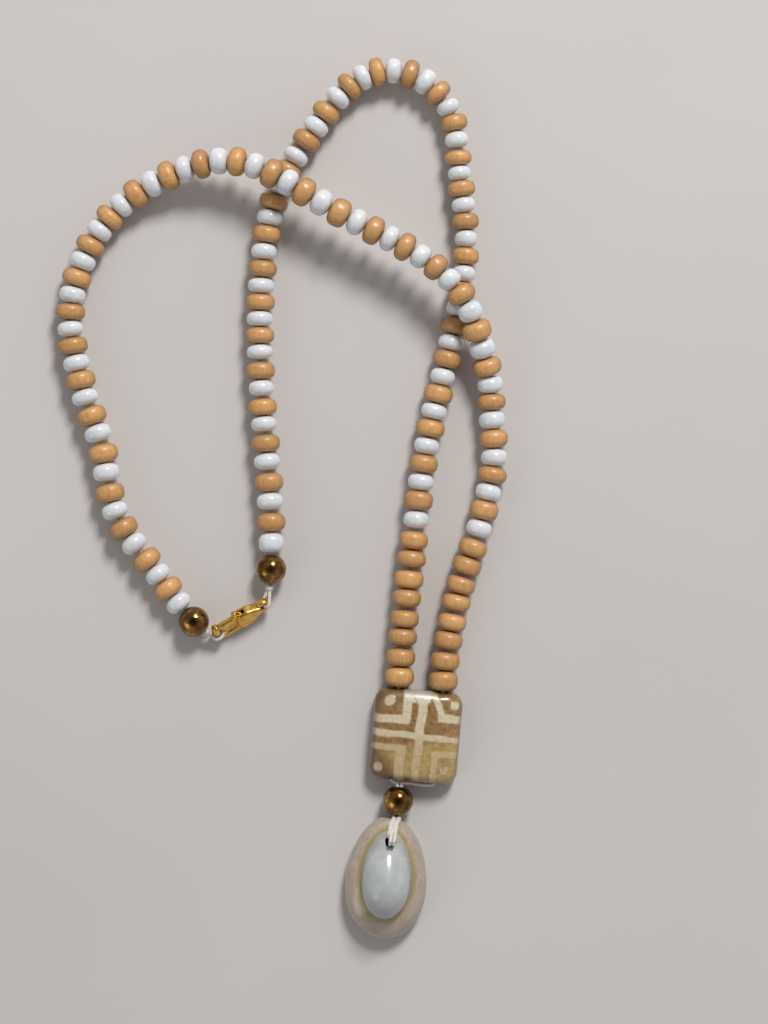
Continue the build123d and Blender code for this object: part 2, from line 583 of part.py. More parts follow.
# ---------------------------------------------------------------- cowrie shell: hollow, aperture down, drilled near one end
# Each section is (height, width scale, length scale, shift along the shell).
SHELL_SECTIONS = [
    (0.0, 0.84, 0.87, 0.0), (0.9, 0.955, 0.968, 0.0), (2.2, 1.0, 1.0, 0.0), (3.4, 0.965, 0.97, 0.15), (4.6, 0.88, 0.90, 0.5),
    (5.5, 0.765, 0.795, 0.95), (6.3, 0.665, 0.705, 1.2), (7.5, 0.605, 0.65, 1.3), (8.8, 0.505, 0.56, 1.3), (9.8, 0.375, 0.43, 1.3),
    (10.5, 0.22, 0.27, 1.3), (10.85, 0.08, 0.10, 1.3),
]
CAVITY_SECTIONS = [
    (1.7, 0.46, 0.55, 0.0), (3.4, 0.72, 0.76, 0.2), (4.8, 0.63, 0.67, 0.7), (6.2, 0.50, 0.55, 1.15), (7.6, 0.42, 0.475, 1.3), (8.9, 0.29, 0.34, 1.3), (9.6, 0.12, 0.14, 1.3),
]


def egg(scale_w, scale_l, shift):
    """Closed egg outline, narrower towards the drilled end."""
    pts = []
    for k in range(12):
        a = radians(30 * k)
        pts.append((COWRIE_HALF_W * scale_w * cos(a) * (1 - 0.11 * sin(a)), shift + COWRIE_HALF_L * scale_l * sin(a)))
    return pts


def add_egg_loft(sections, mode):
    faces = []
    for z, sw, sl, shift in sections:
        with BuildSketch(cowrie_frame.offset(z), mode=Mode.PRIVATE) as outline:
            with BuildLine():
                Spline(*egg(sw, sl, shift), periodic=True)
            make_face()
        faces.append(outline.sketch)
    loft(faces, mode=mode)


with BuildPart() as cowrie_shell:
    add_egg_loft(SHELL_SECTIONS, Mode.ADD)
    add_egg_loft(CAVITY_SECTIONS, Mode.SUBTRACT)
    # drilled hole
    with BuildSketch(cowrie_frame.offset(4.6)):
        with Locations(COWRIE_HOLE):
            Circle(COWRIE_HOLE_R)
    extrude(amount=8, mode=Mode.SUBTRACT)
    # aperture, open at the drilled end
    with BuildSketch(cowrie_frame):
        with BuildLine():
            Polyline(
                (-0.55, -10.6), (-0.35, -6.0), (-0.55, 0.0), (-0.6, 6.0), (-0.35, 9.0), (-0.15, 14.0), (1.9, 14.0), (1.2, 9.0),
                (0.95, 6.0), (0.6, 0.0), (0.75, -6.0), (0.6, -10.6), (-0.55, -10.6),
            )
        make_face()
    extrude(amount=APERTURE_DEPTH, both=True, mode=Mode.SUBTRACT)
write(cowrie_shell, "cowrie_shell")

# loop from the brass bead over the rim, down the drilled hole and back through the aperture, twice
shell_start = cowrie_frame.to_local_coords(SHELL_POINT + PENDANT_AXIS * 0.15)
with BuildPart() as cowrie_threads:
    for s in (-0.36, 0.36):
        hx, hy = COWRIE_HOLE
        add_thread(
            smooth(
                [
                    on_cowrie(shell_start.X + s, shell_start.Y - 0.12, 3.3),
                    on_cowrie(shell_start.X + s - 0.05, 12.35, 4.2),
                    on_cowrie(shell_start.X + s - 0.15, 11.85, 5.3),
                    on_cowrie(hx + s + 0.35, 11.3, 6.25),
                    on_cowrie(hx + s + 0.25, 10.5, 7.1),
                    on_cowrie(hx + s + 0.15, 9.95, 8.0),
                    on_cowrie(hx + s + 0.08, 9.35, 8.85),
                    on_cowrie(hx + s, 8.65, 9.3),
                    on_cowrie(hx + s, 8.1, 8.95),
                    on_cowrie(hx + s, 7.85, 8.0),
                    on_cowrie(hx + s, 7.8, 6.4),
                    on_cowrie(hx + s, 7.8, 4.8),
                    on_cowrie(hx + s, 7.85, 3.2),
                    on_cowrie(hx + s, 8.55, 1.5),
                    on_cowrie(hx + s + 0.15, 9.8, 1.05),
                    on_cowrie(shell_start.X + s - 0.2, 11.6, 1.0),
                    on_cowrie(shell_start.X + s - 0.05, 12.45, 1.45),
                    on_cowrie(shell_start.X + s, shell_start.Y + 0.05, 2.4),
                ],
                steps=2,
            )
        )
write(cowrie_threads, "cowrie_threads")
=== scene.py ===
import json
import math

import bmesh
import bpy
import numpy as np
from mathutils import Matrix, Vector

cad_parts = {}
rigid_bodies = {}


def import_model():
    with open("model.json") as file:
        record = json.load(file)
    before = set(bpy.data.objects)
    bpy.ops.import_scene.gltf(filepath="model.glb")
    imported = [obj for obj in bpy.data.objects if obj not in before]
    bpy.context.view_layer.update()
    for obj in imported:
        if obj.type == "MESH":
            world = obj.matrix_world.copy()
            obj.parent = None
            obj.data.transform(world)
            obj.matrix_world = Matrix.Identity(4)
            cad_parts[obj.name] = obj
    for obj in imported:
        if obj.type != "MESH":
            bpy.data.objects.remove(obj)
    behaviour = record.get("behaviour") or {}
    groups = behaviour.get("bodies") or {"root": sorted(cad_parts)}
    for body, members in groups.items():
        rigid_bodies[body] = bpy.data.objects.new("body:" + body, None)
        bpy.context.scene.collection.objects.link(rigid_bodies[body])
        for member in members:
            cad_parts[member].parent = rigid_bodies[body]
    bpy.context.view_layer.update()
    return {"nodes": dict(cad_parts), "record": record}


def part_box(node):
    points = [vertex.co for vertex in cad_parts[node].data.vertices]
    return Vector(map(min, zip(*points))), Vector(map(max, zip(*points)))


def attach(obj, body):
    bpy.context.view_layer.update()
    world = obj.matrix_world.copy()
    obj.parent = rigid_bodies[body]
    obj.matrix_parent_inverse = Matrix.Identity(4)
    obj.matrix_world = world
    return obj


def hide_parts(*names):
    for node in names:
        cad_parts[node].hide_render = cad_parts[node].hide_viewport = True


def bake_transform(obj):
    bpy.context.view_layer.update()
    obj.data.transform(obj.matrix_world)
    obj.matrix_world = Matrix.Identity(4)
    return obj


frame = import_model()
MM = 0.001
JOINTS = {j["name"]: j for j in frame["record"]["behaviour"]["joints"]}
BODIES = frame["record"]["behaviour"]["bodies"]
NODE_BODY = {n: b for b, ns in BODIES.items() for n in ns}
SLOT = {s["node"]: s["material_slot"] for s in frame["record"]["subparts"]}
rng = np.random.default_rng(4127)

bpy.context.scene.view_settings.view_transform = "Standard"
bpy.context.scene.view_settings.look = "None"


# ------------------------------------------------------------------ small helpers
def unit(v):
    v = np.asarray(v, float)
    return v / np.linalg.norm(v)


def new_mesh(name, verts_mm, faces, smooth=True):
    me = bpy.data.meshes.new(name)
    me.from_pydata((np.asarray(verts_mm) * MM).tolist(), [], faces)
    if smooth:
        me.polygons.foreach_set("use_smooth", np.ones(len(me.polygons), bool))
    me.update()
    return me


def new_object(name, me, mat=None):
    ob = bpy.data.objects.new(name, me)
    bpy.context.scene.collection.objects.link(ob)
    if mat:
        me.materials.append(mat)
    return ob


def put_vector(me, name, values):
    a = me.attributes.new(name, "FLOAT_VECTOR", "POINT")
    a.data.foreach_set("vector", np.asarray(values, np.float32).ravel())


def put_float(me, name, values):
    a = me.attributes.new(name, "FLOAT", "POINT")
    a.data.foreach_set("value", np.asarray(values, np.float32).ravel())


def verts_of(me):
    out = np.empty(len(me.vertices) * 3, np.float32)
    me.vertices.foreach_get("co", out)
    return out.reshape(-1, 3).astype(float)


def evaluated(ob, name):
    """A new mesh of ob with its modifiers applied."""
    bpy.context.view_layer.update()
    dg = bpy.context.evaluated_depsgraph_get()
    me = bpy.data.meshes.new_from_object(ob.evaluated_get(dg))
    me.name = name
    return me


def subtract(ob, tool):
    """Cuts tool out of ob and returns ob with the cut applied; the tool is removed."""
    m = ob.modifiers.new("cut", "BOOLEAN")
    m.operation = "DIFFERENCE"
    m.object = tool
    m.solver = "EXACT"
    me = evaluated(ob, ob.name + "_cut")
    ob.modifiers.clear()
    old = ob.data
    ob.data = me
    bpy.data.meshes.remove(old)
    td = tool.data
    bpy.data.objects.remove(tool)
    bpy.data.meshes.remove(td)
    return ob


def smoothstep(a, b, x):
    t = np.clip((np.asarray(x, float) - a) / (b - a), 0, 1)
    return t * t * (3 - 2 * t)


def wobble(p, scale, seed):
    """Smooth pseudo-random field in [-1, 1] at points p (n, 3), from a few sine waves."""
    r = np.random.default_rng(seed)
    out = np.zeros(len(p))
    for _ in range(6):
        k = r.normal(size=3) * scale
        out += np.sin(p @ k + r.uniform(0, 6.28))
    return out / 3.5


# ------------------------------------------------------------------ material nodes
class Nodes:
    def __init__(self, name):
        self.mat = bpy.data.materials.new(name)
        self.mat.use_nodes = True
        self.t = self.mat.node_tree
        self.t.nodes.clear()
        self.out = self.t.nodes.new("ShaderNodeOutputMaterial")
        self.bsdf = self.t.nodes.new("ShaderNodeBsdfPrincipled")
        self.t.links.new(self.bsdf.outputs[0], self.out.inputs["Surface"])

    def link(self, a, b):
        self.t.links.new(a, b)

    def put(self, socket, value):
        if hasattr(value, "is_output") or isinstance(value, bpy.types.NodeSocket):
            self.t.links.new(value, socket)
        else:
            socket.default_value = value

    def set(self, **kw):
        names = dict(
            color="Base Color", rough="Roughness", metal="Metallic", normal="Normal", coat="Coat Weight", coat_rough="Coat Roughness",
            sss="Subsurface Weight", sss_scale="Subsurface Scale", sss_radius="Subsurface Radius", spec="Specular IOR Level", ior="IOR",
            sheen="Sheen Weight", sheen_rough="Sheen Roughness", coat_normal="Coat Normal", tint="Specular Tint", coat_tint="Coat Tint",
        )
        for k, v in kw.items():
            self.put(self.bsdf.inputs[names[k]], v)

    def attr(self, name, out="Vector"):
        n = self.t.nodes.new("ShaderNodeAttribute")
        n.attribute_name = name
        return n.outputs[out]

    def math(self, op, a, b=0.0, c=None, clamp=False):
        n = self.t.nodes.new("ShaderNodeMath")
        n.operation = op
        n.use_clamp = clamp
        self.put(n.inputs[0], a)
        self.put(n.inputs[1], b)
        if c is not None:
            self.put(n.inputs[2], c)
        return n.outputs[0]

    def vmath(self, op, a, b=None, scale=None):
        n = self.t.nodes.new("ShaderNodeVectorMath")
        n.operation = op
        self.put(n.inputs[0], a)
        if b is not None:
            self.put(n.inputs[1], b)
        if scale is not None:
            self.put(n.inputs["Scale"], scale)
        return n.outputs["Value" if op in ("LENGTH", "DOT_PRODUCT", "DISTANCE") else "Vector"]

    def xyz(self, v):
        n = self.t.nodes.new("ShaderNodeSeparateXYZ")
        self.put(n.inputs[0], v)
        return n.outputs

    def noise(self, vector, scale, detail=4.0, rough=0.55, out="Fac", distortion=0.0):
        n = self.t.nodes.new("ShaderNodeTexNoise")
        self.put(n.inputs["Vector"], vector)
        n.inputs["Scale"].default_value = scale
        n.inputs["Detail"].default_value = detail
        n.inputs["Roughness"].default_value = rough
        n.inputs["Distortion"].default_value = distortion
        return n.outputs[0] if out == "Fac" else n.outputs["Color"]

    def voronoi(self, vector, scale, feature="F1"):
        n = self.t.nodes.new("ShaderNodeTexVoronoi")
        n.feature = feature
        self.put(n.inputs["Vector"], vector)
        n.inputs["Scale"].default_value = scale
        return n.outputs["Distance"]

    def wave(self, vector, scale, distortion=2.0, detail=2.0, kind="BANDS", direction="X"):
        n = self.t.nodes.new("ShaderNodeTexWave")
        n.wave_type = kind
        if kind == "BANDS":
            n.bands_direction = direction
        self.put(n.inputs["Vector"], vector)
        n.inputs["Scale"].default_value = scale
        n.inputs["Distortion"].default_value = distortion
        n.inputs["Detail"].default_value = detail
        return n.outputs["Fac"]

    def ramp(self, fac, stops):
        n = self.t.nodes.new("ShaderNodeValToRGB")
        e = n.color_ramp.elements
        while len(e) > 1:
            e.remove(e[-1])
        e[0].position = stops[0][0]
        e[0].color = (*stops[0][1], 1)
        for pos, col in stops[1:]:
            k = e.new(pos)
            k.color = (*col, 1)
        self.put(n.inputs[0], fac)
        return n.outputs["Color"]

    def mix(self, fac, a, b, blend="MIX"):
        n = self.t.nodes.new("ShaderNodeMix")
        n.data_type = "RGBA"
        n.blend_type = blend
        self.put(n.inputs[0], fac)
        self.put(n.inputs[6], a if hasattr(a, "is_output") or isinstance(a, bpy.types.NodeSocket) else (*a, 1))
        self.put(n.inputs[7], b if hasattr(b, "is_output") or isinstance(b, bpy.types.NodeSocket) else (*b, 1))
        return n.outputs[2]

    def remap(self, v, a, b, c, d):
        n = self.t.nodes.new("ShaderNodeMapRange")
        self.put(n.inputs[0], v)
        for k, x in enumerate((a, b, c, d), 1):
            n.inputs[k].default_value = x
        return n.outputs[0]

    def bump(self, height, strength, distance_mm, normal=None):
        n = self.t.nodes.new("ShaderNodeBump")
        n.inputs["Strength"].default_value = strength
        n.inputs["Distance"].default_value = distance_mm * MM
        self.put(n.inputs["Height"], height)
        if normal is not None:
            self.put(n.inputs["Normal"], normal)
        return n.outputs[0]


def wood_material():
    n = Nodes("varnished_wood")
    p = n.attr("bead_place")
    r = n.xyz(n.attr("bead_seed"))
    at = n.vmath("ADD", p, n.vmath("SCALE", n.attr("bead_seed"), scale=90.0))
    long = n.vmath("MULTIPLY", at, (1.0, 1.0, 0.16))
    grain = n.noise(long, 3.4, 6.0, 0.62, distortion=0.25)
    fibre = n.noise(n.vmath("MULTIPLY", at, (1.0, 1.0, 0.07)), 11.0, 3.0, 0.6)
    patch = n.noise(at, 0.42, 2.0, 0.5)
    base = n.ramp(grain, [(0.28, (0.49, 0.265, 0.105)), (0.47, (0.61, 0.350, 0.148)), (0.62, (0.69, 0.420, 0.190)), (0.80, (0.75, 0.48, 0.240))])
    base = n.mix(n.remap(fibre, 0.52, 0.72, 0.0, 0.22), base, (0.36, 0.175, 0.062))
    base = n.mix(n.remap(patch, 0.35, 0.7, 0.0, 0.28), base, (0.70, 0.40, 0.17))
    tone = n.remap(r[0], 0.0, 1.0, 0.84, 1.10)
    base = n.mix(1.0, base, n.mix(n.remap(r[1], 0.0, 1.0, 0.0, 1.0), (1.03, 0.955, 0.85), (1.0, 0.915, 0.745)), "MULTIPLY")
    s = n.t.nodes.new("ShaderNodeHueSaturation")
    n.put(s.inputs["Color"], base)
    n.put(s.inputs["Value"], tone)
    base = s.outputs[0]
    xyz = n.xyz(p)
    radial = n.math("SQRT", n.math("ADD", n.math("MULTIPLY", xyz[0], xyz[0]), n.math("MULTIPLY", xyz[1], xyz[1])))
    mouth = n.remap(radial, 0.62, 1.15, 0.72, 0.0)  # painted shade: darker round the hole, at the end where the next bead sits
    base = n.mix(mouth, base, (0.10, 0.045, 0.018))
    pores = n.noise(n.vmath("MULTIPLY", at, (1.0, 1.0, 0.22)), 16.0, 2.0, 0.5)
    base = n.mix(n.remap(pores, 0.64, 0.74, 0.0, 0.45), base, (0.20, 0.085, 0.03))
    # painted shade: the bead darkens towards its edges as seen from the camera
    rim = n.t.nodes.new("ShaderNodeLayerWeight")
    rim.inputs["Blend"].default_value = 0.42
    base = n.mix(n.remap(rim.outputs["Facing"], 0.18, 0.85, 0.0, 0.80), base, (0.225, 0.098, 0.030))
    h = n.math("ADD", n.math("MULTIPLY", grain, 0.6), n.math("MULTIPLY", fibre, 0.5))
    wear = n.noise(at, 1.6, 4.0, 0.6)
    n.set(
        color=base, rough=n.remap(wear, 0.3, 0.7, 0.36, 0.52), coat=0.35, coat_rough=0.24, spec=0.45, sss=0.05, sss_scale=0.0006,
        normal=n.bump(h, 0.35, 0.05), coat_normal=n.bump(wear, 0.15, 0.06),
    )
    return n.mat


def glass_material():
    n = Nodes("white_glass")
    p = n.attr("bead_place")
    r = n.xyz(n.attr("bead_seed"))
    at = n.vmath("ADD", p, n.vmath("SCALE", n.attr("bead_seed"), scale=70.0))
    cloud = n.noise(at, 0.7, 3.0, 0.5)
    base = n.ramp(cloud, [(0.30, (0.66, 0.69, 0.725)), (0.55, (0.735, 0.765, 0.79)), (0.8, (0.80, 0.815, 0.82))])
    base = n.mix(n.remap(r[1], 0.0, 1.0, 0.0, 0.5), base, (0.74, 0.745, 0.80))
    swirl = n.noise(n.vmath("MULTIPLY", at, (1.0, 1.0, 2.4)), 1.3, 3.0, 0.55, distortion=0.8)
    base = n.mix(n.remap(swirl, 0.56, 0.72, 0.0, 0.30), base, (0.86, 0.87, 0.88))
    xyz = n.xyz(p)
    radial = n.math("SQRT", n.math("ADD", n.math("MULTIPLY", xyz[0], xyz[0]), n.math("MULTIPLY", xyz[1], xyz[1])))
    # painted shade: darker round the hole, at the ends where the beads meet
    base = n.mix(n.remap(radial, 0.60, 1.05, 0.55, 0.0), base, (0.42, 0.40, 0.38))
    speck = n.noise(at, 7.0, 2.0, 0.5)
    base = n.mix(n.remap(speck, 0.70, 0.78, 0.0, 0.35), base, (0.5, 0.48, 0.46))
    n.set(
        color=base, rough=n.remap(n.noise(at, 2.4, 3.0, 0.6), 0.3, 0.7, 0.12, 0.30), coat=0.5, coat_rough=0.08, spec=0.5, ior=1.52, sss=0.30,
        sss_scale=0.0009, sss_radius=(0.9, 1.0, 1.1), normal=n.bump(n.noise(at, 1.1, 2.0, 0.5), 0.25, 0.12), coat_normal=n.bump(cloud, 0.10, 0.10),
    )
    return n.mat


def bronze_material():
    n = Nodes("bronze_bead")
    p = n.attr("bead_place")
    at = n.vmath("ADD", p, n.vmath("SCALE", n.attr("bead_seed"), scale=70.0))
    cloud = n.noise(at, 0.55, 4.0, 0.6)
    # dark brown bronze, with golden patches that are painted glints
    base = n.ramp(cloud, [(0.3, (0.10, 0.042, 0.009)), (0.49, (0.20, 0.095, 0.022)), (0.61, (0.38, 0.205, 0.052)), (0.74, (0.68, 0.45, 0.14))])
    xyz = n.xyz(p)
    radial = n.math("SQRT", n.math("ADD", n.math("MULTIPLY", xyz[0], xyz[0]), n.math("MULTIPLY", xyz[1], xyz[1])))
    end_glint = n.math("MULTIPLY", n.remap(radial, 0.85, 1.35, 1.0, 0.0), n.remap(n.noise(at, 2.2, 3.0, 0.6), 0.35, 0.6, 0.2, 1.0))
    base = n.mix(end_glint, base, (0.62, 0.42, 0.17))  # painted glint: golden round the hole at each end
    smear = n.noise(n.vmath("MULTIPLY", at, (1.0, 1.0, 0.5)), 1.8, 5.0, 0.65)
    n.set(
        color=base, metal=1.0, rough=n.remap(smear, 0.3, 0.75, 0.10, 0.26), coat=0.30, coat_rough=0.05,
        normal=n.bump(n.noise(at, 5.0, 3.0, 0.6), 0.08, 0.05),
    )
    return n.mat


def gold_material():
    n = Nodes("gold_plate")
    c = n.t.nodes.new("ShaderNodeTexCoord").outputs["Object"]
    at = n.vmath("SCALE", c, scale=1000.0)
    cloud = n.noise(at, 0.7, 4.0, 0.6)
    base = n.ramp(cloud, [(0.3, (0.60, 0.33, 0.060)), (0.55, (0.82, 0.50, 0.115)), (0.8, (0.92, 0.64, 0.22))])
    worn = n.noise(at, 3.1, 5.0, 0.7)
    base = n.mix(n.remap(worn, 0.62, 0.72, 0.0, 0.5), base, (0.50, 0.40, 0.26))
    scratch = n.noise(n.vmath("MULTIPLY", at, (1.0, 6.0, 6.0)), 2.0, 3.0, 0.6)
    # painted shade: near black in the recesses, from ambient occlusion
    recess_shade = n.t.nodes.new("ShaderNodeAmbientOcclusion")
    recess_shade.inputs["Distance"].default_value = 0.0011
    recess_shade.samples = 8
    base = n.mix(n.remap(recess_shade.outputs["AO"], 0.30, 0.78, 0.85, 0.0), base, (0.085, 0.035, 0.008))
    n.set(color=base, metal=1.0, rough=n.remap(worn, 0.3, 0.7, 0.14, 0.34), normal=n.bump(n.math("ADD", scratch, n.math("MULTIPLY", worn, 0.6)), 0.12, 0.04))
    return n.mat


def steel_material():
    n = Nodes("spring_wire")
    c = n.t.nodes.new("ShaderNodeTexCoord").outputs["Object"]
    at = n.vmath("SCALE", c, scale=1000.0)
    g = n.noise(at, 6.0, 4.0, 0.6)
    n.set(color=n.ramp(g, [(0.3, (0.34, 0.33, 0.32)), (0.7, (0.60, 0.60, 0.61))]), metal=1.0, rough=n.remap(g, 0.3, 0.7, 0.25, 0.45), normal=n.bump(g, 0.1, 0.01))
    return n.mat


def thread_material():
    n = Nodes("waxed_cord")
    p = n.attr("cord_place")  # (around, along mm, twist phase)
    c = n.t.nodes.new("ShaderNodeTexCoord").outputs["Object"]
    at = n.vmath("SCALE", c, scale=1000.0)
    fibre = n.noise(n.vmath("MULTIPLY", p, (2.0, 0.8, 1.0)), 9.0, 4.0, 0.65)
    cloud = n.noise(at, 1.2, 3.0, 0.6)
    base = n.ramp(fibre, [(0.28, (0.50, 0.46, 0.40)), (0.5, (0.72, 0.69, 0.63)), (0.75, (0.84, 0.82, 0.78))])
    base = n.mix(n.remap(cloud, 0.45, 0.72, 0.0, 0.45), base, (0.58, 0.50, 0.40))
    n.set(color=base, rough=n.remap(fibre, 0.3, 0.7, 0.55, 0.8), sheen=0.25, sheen_rough=0.5, sss=0.15, sss_scale=0.0004, normal=n.bump(fibre, 0.6, 0.05), spec=0.35)
    return n.mat


def tile_material():
    n = Nodes("dyed_tile")
    line = n.attr("line_mask", "Fac")
    fade = n.attr("line_fade", "Fac")
    edge = n.attr("edge_near", "Fac")
    p = n.attr("tile_place")
    cloud = n.noise(p, 0.32, 4.0, 0.6)
    mottled = n.noise(p, 1.25, 5.0, 0.65)
    fine = n.noise(p, 5.5, 3.0, 0.6)
    ground = n.ramp(mottled, [(0.28, (0.15, 0.078, 0.026)), (0.46, (0.27, 0.152, 0.056)), (0.62, (0.37, 0.226, 0.095)), (0.8, (0.47, 0.31, 0.145))])
    low = n.ramp(mottled, [(0.28, (0.34, 0.215, 0.075)), (0.5, (0.485, 0.335, 0.130)), (0.75, (0.59, 0.43, 0.19))])
    ground = n.mix(n.attr("lower_half", "Fac"), ground, low)
    ground = n.mix(n.remap(cloud, 0.5, 0.75, 0.0, 0.30), ground, (0.17, 0.085, 0.027))
    cream = n.ramp(mottled, [(0.25, (0.58, 0.47, 0.31)), (0.5, (0.68, 0.585, 0.425)), (0.8, (0.76, 0.69, 0.56))])
    cream = n.mix(fade, cream, n.ramp(mottled, [(0.25, (0.50, 0.375, 0.185)), (0.5, (0.58, 0.45, 0.25)), (0.8, (0.66, 0.53, 0.33))]))
    cream = n.mix(n.attr("top_white", "Fac"), cream, (0.80, 0.76, 0.68))
    halo = n.math("MULTIPLY", n.math("MULTIPLY", line, n.math("SUBTRACT", 1.0, line)), 3.0, clamp=True)
    base = n.mix(line, ground, cream)
    base = n.mix(n.math("MULTIPLY", halo, 0.35), base, (0.20, 0.12, 0.035))  # dye gathers along a line's edge
    base = n.mix(n.remap(fine, 0.60, 0.72, 0.0, 0.30), base, (0.22, 0.14, 0.06))
    base = n.mix(n.math("MULTIPLY", n.attr("corner_dark", "Fac"), n.math("SUBTRACT", 1.0, n.math("MULTIPLY", line, 0.62))), base, (0.120, 0.060, 0.022))
    crack = n.voronoi(n.vmath("ADD", p, n.vmath("SCALE", n.noise(p, 1.5, 2.0, 0.5, out="Color"), scale=0.7)), 0.55, "DISTANCE_TO_EDGE")
    vein = n.remap(crack, 0.0, 0.035, 0.55, 0.0)
    base = n.mix(n.math("MULTIPLY", vein, n.remap(cloud, 0.42, 0.6, 0.0, 1.0)), base, (0.17, 0.10, 0.04))
    base = n.mix(n.math("MULTIPLY", edge, 0.62), base, (0.15, 0.078, 0.028))
    height = n.math("ADD", n.math("MULTIPLY", mottled, 0.25), n.math("MULTIPLY", line, 0.9))
    n.set(
        color=base, rough=n.remap(fine, 0.3, 0.7, 0.20, 0.36), coat=0.65, coat_rough=0.07, spec=0.5, sss=0.08, sss_scale=0.0008,
        normal=n.bump(height, 0.35, 0.06), coat_normal=n.bump(n.noise(p, 0.9, 3.0, 0.55), 0.18, 0.12),
    )
    return n.mat


def shell_material():
    n = Nodes("cowrie_shell")
    p = n.attr("shell_place")
    ring = n.attr("ring_at", "Fac")  # mm above (+) or below (-) the ring line
    base_side = n.attr("base_side", "Fac")
    tooth = n.attr("tooth", "Fac")
    broad = n.noise(p, 0.28, 3.0, 0.5)
    soft = n.noise(p, 0.9, 4.0, 0.6)
    fine = n.noise(p, 4.5, 4.0, 0.65)
    wav = n.math("ADD", ring, n.math("MULTIPLY", n.math("SUBTRACT", n.noise(p, 0.55, 3.0, 0.6), 0.5), 0.8))
    dome = n.ramp(n.math("ADD", n.math("MULTIPLY", broad, 0.65), n.math("MULTIPLY", soft, 0.35)), [(0.28, (0.385, 0.41, 0.43)), (0.48, (0.47, 0.49, 0.505)), (0.62, (0.54, 0.555, 0.565)), (0.8, (0.62, 0.63, 0.63))])
    band = n.math("SINE", n.math("MULTIPLY", n.xyz(p)[1], 1.15))
    dome = n.mix(n.remap(band, 0.1, 1.0, 0.0, 0.10), dome, (0.42, 0.45, 0.48))
    callus = n.ramp(n.math("ADD", n.math("MULTIPLY", broad, 0.5), n.math("MULTIPLY", soft, 0.5)), [(0.30, (0.36, 0.270, 0.205)), (0.5, (0.48, 0.385, 0.305)), (0.7, (0.57, 0.48, 0.39)), (0.85, (0.65, 0.57, 0.48))])
    callus = n.mix(n.remap(fine, 0.58, 0.72, 0.0, 0.25), callus, (0.52, 0.40, 0.30))
    col = n.mix(n.remap(wav, -0.15, 0.25, 0.0, 1.0), callus, dome)
    shade = n.remap(n.math("ABSOLUTE", n.math("SUBTRACT", wav, 0.55)), 0.0, 0.85, 0.72, 0.0)
    lower = n.remap(n.xyz(p)[1], 1.0, -8.0, 0.75, 1.35)
    col = n.mix(n.math("MULTIPLY", shade, lower, clamp=True), col, (0.235, 0.225, 0.175))  # painted shade, grey-olive, just inside the ring, deeper towards the lower end
    line = n.remap(n.math("ABSOLUTE", n.math("ADD", wav, 0.22)), 0.14, 0.62, 0.92, 0.0)
    col = n.mix(line, col, (0.335, 0.265, 0.085))
    # painted shade: the dome darkens towards its edges as seen from the camera
    rim = n.t.nodes.new("ShaderNodeLayerWeight")
    rim.inputs["Blend"].default_value = 0.5
    col = n.mix(n.remap(rim.outputs["Facing"], 0.22, 0.85, 0.0, 0.60), col, (0.27, 0.275, 0.265))
    under = n.ramp(soft, [(0.3, (0.62, 0.52, 0.42)), (0.6, (0.76, 0.70, 0.61)), (0.8, (0.80, 0.76, 0.70))])
    col = n.mix(base_side, col, under)
    col = n.mix(n.math("MULTIPLY", tooth, 0.7), col, (0.86, 0.83, 0.78))
    # painted shade: near black inside the drilled hole and the mouth
    col = n.mix(n.attr("hole_and_mouth_shade", "Fac"), col, (0.10, 0.06, 0.045))
    n.set(
        color=col, rough=n.remap(fine, 0.3, 0.7, 0.20, 0.34), coat=0.55, coat_rough=0.08, spec=0.5, sss=0.07, sss_scale=0.0010, sss_radius=(1.0, 0.85, 0.7),
        normal=n.bump(n.math("ADD", n.math("MULTIPLY", soft, 0.7), n.math("MULTIPLY", fine, 0.25)), 0.18, 0.12), coat_normal=n.bump(n.noise(p, 0.7, 3.0, 0.55), 0.12, 0.15),
    )
    return n.mat


MAT = dict(
    wood=wood_material(), white_glass=glass_material(), bronze_bead=bronze_material(), gold_plate=gold_material(), spring_steel=steel_material(),
    thread=thread_material(), tile=tile_material(), shell=shell_material(),
)


# ------------------------------------------------------------------ beads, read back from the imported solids
def loose_solids(node):
    """(welded vertices in mm, triangles) of each separate solid in a CAD node."""
    me = frame["nodes"][node].data
    me.calc_loop_triangles()
    co = verts_of(me) / MM
    tri = np.empty(len(me.loop_triangles) * 3, np.int32)
    me.loop_triangles.foreach_get("vertices", tri)
    tri = tri.reshape(-1, 3)
    key = np.round(co, 4)
    _, first, inverse = np.unique(key, axis=0, return_index=True, return_inverse=True)
    inverse = np.asarray(inverse).ravel()
    pts = co[first]
    tri = inverse[tri]
    label = np.arange(len(pts))
    while True:
        low = label[tri].min(axis=1)
        new = label.copy()
        for k in range(3):
            np.minimum.at(new, tri[:, k], low)
        new = new[new]
        if (new == label).all():
            break
        label = new
    out = []
    for lab in np.unique(label):
        ids = np.flatnonzero(label == lab)
        remap = -np.ones(len(pts), int)
        remap[ids] = np.arange(len(ids))
        t = tri[label[tri[:, 0]] == lab]
        out.append((pts[ids], remap[t]))
    return out


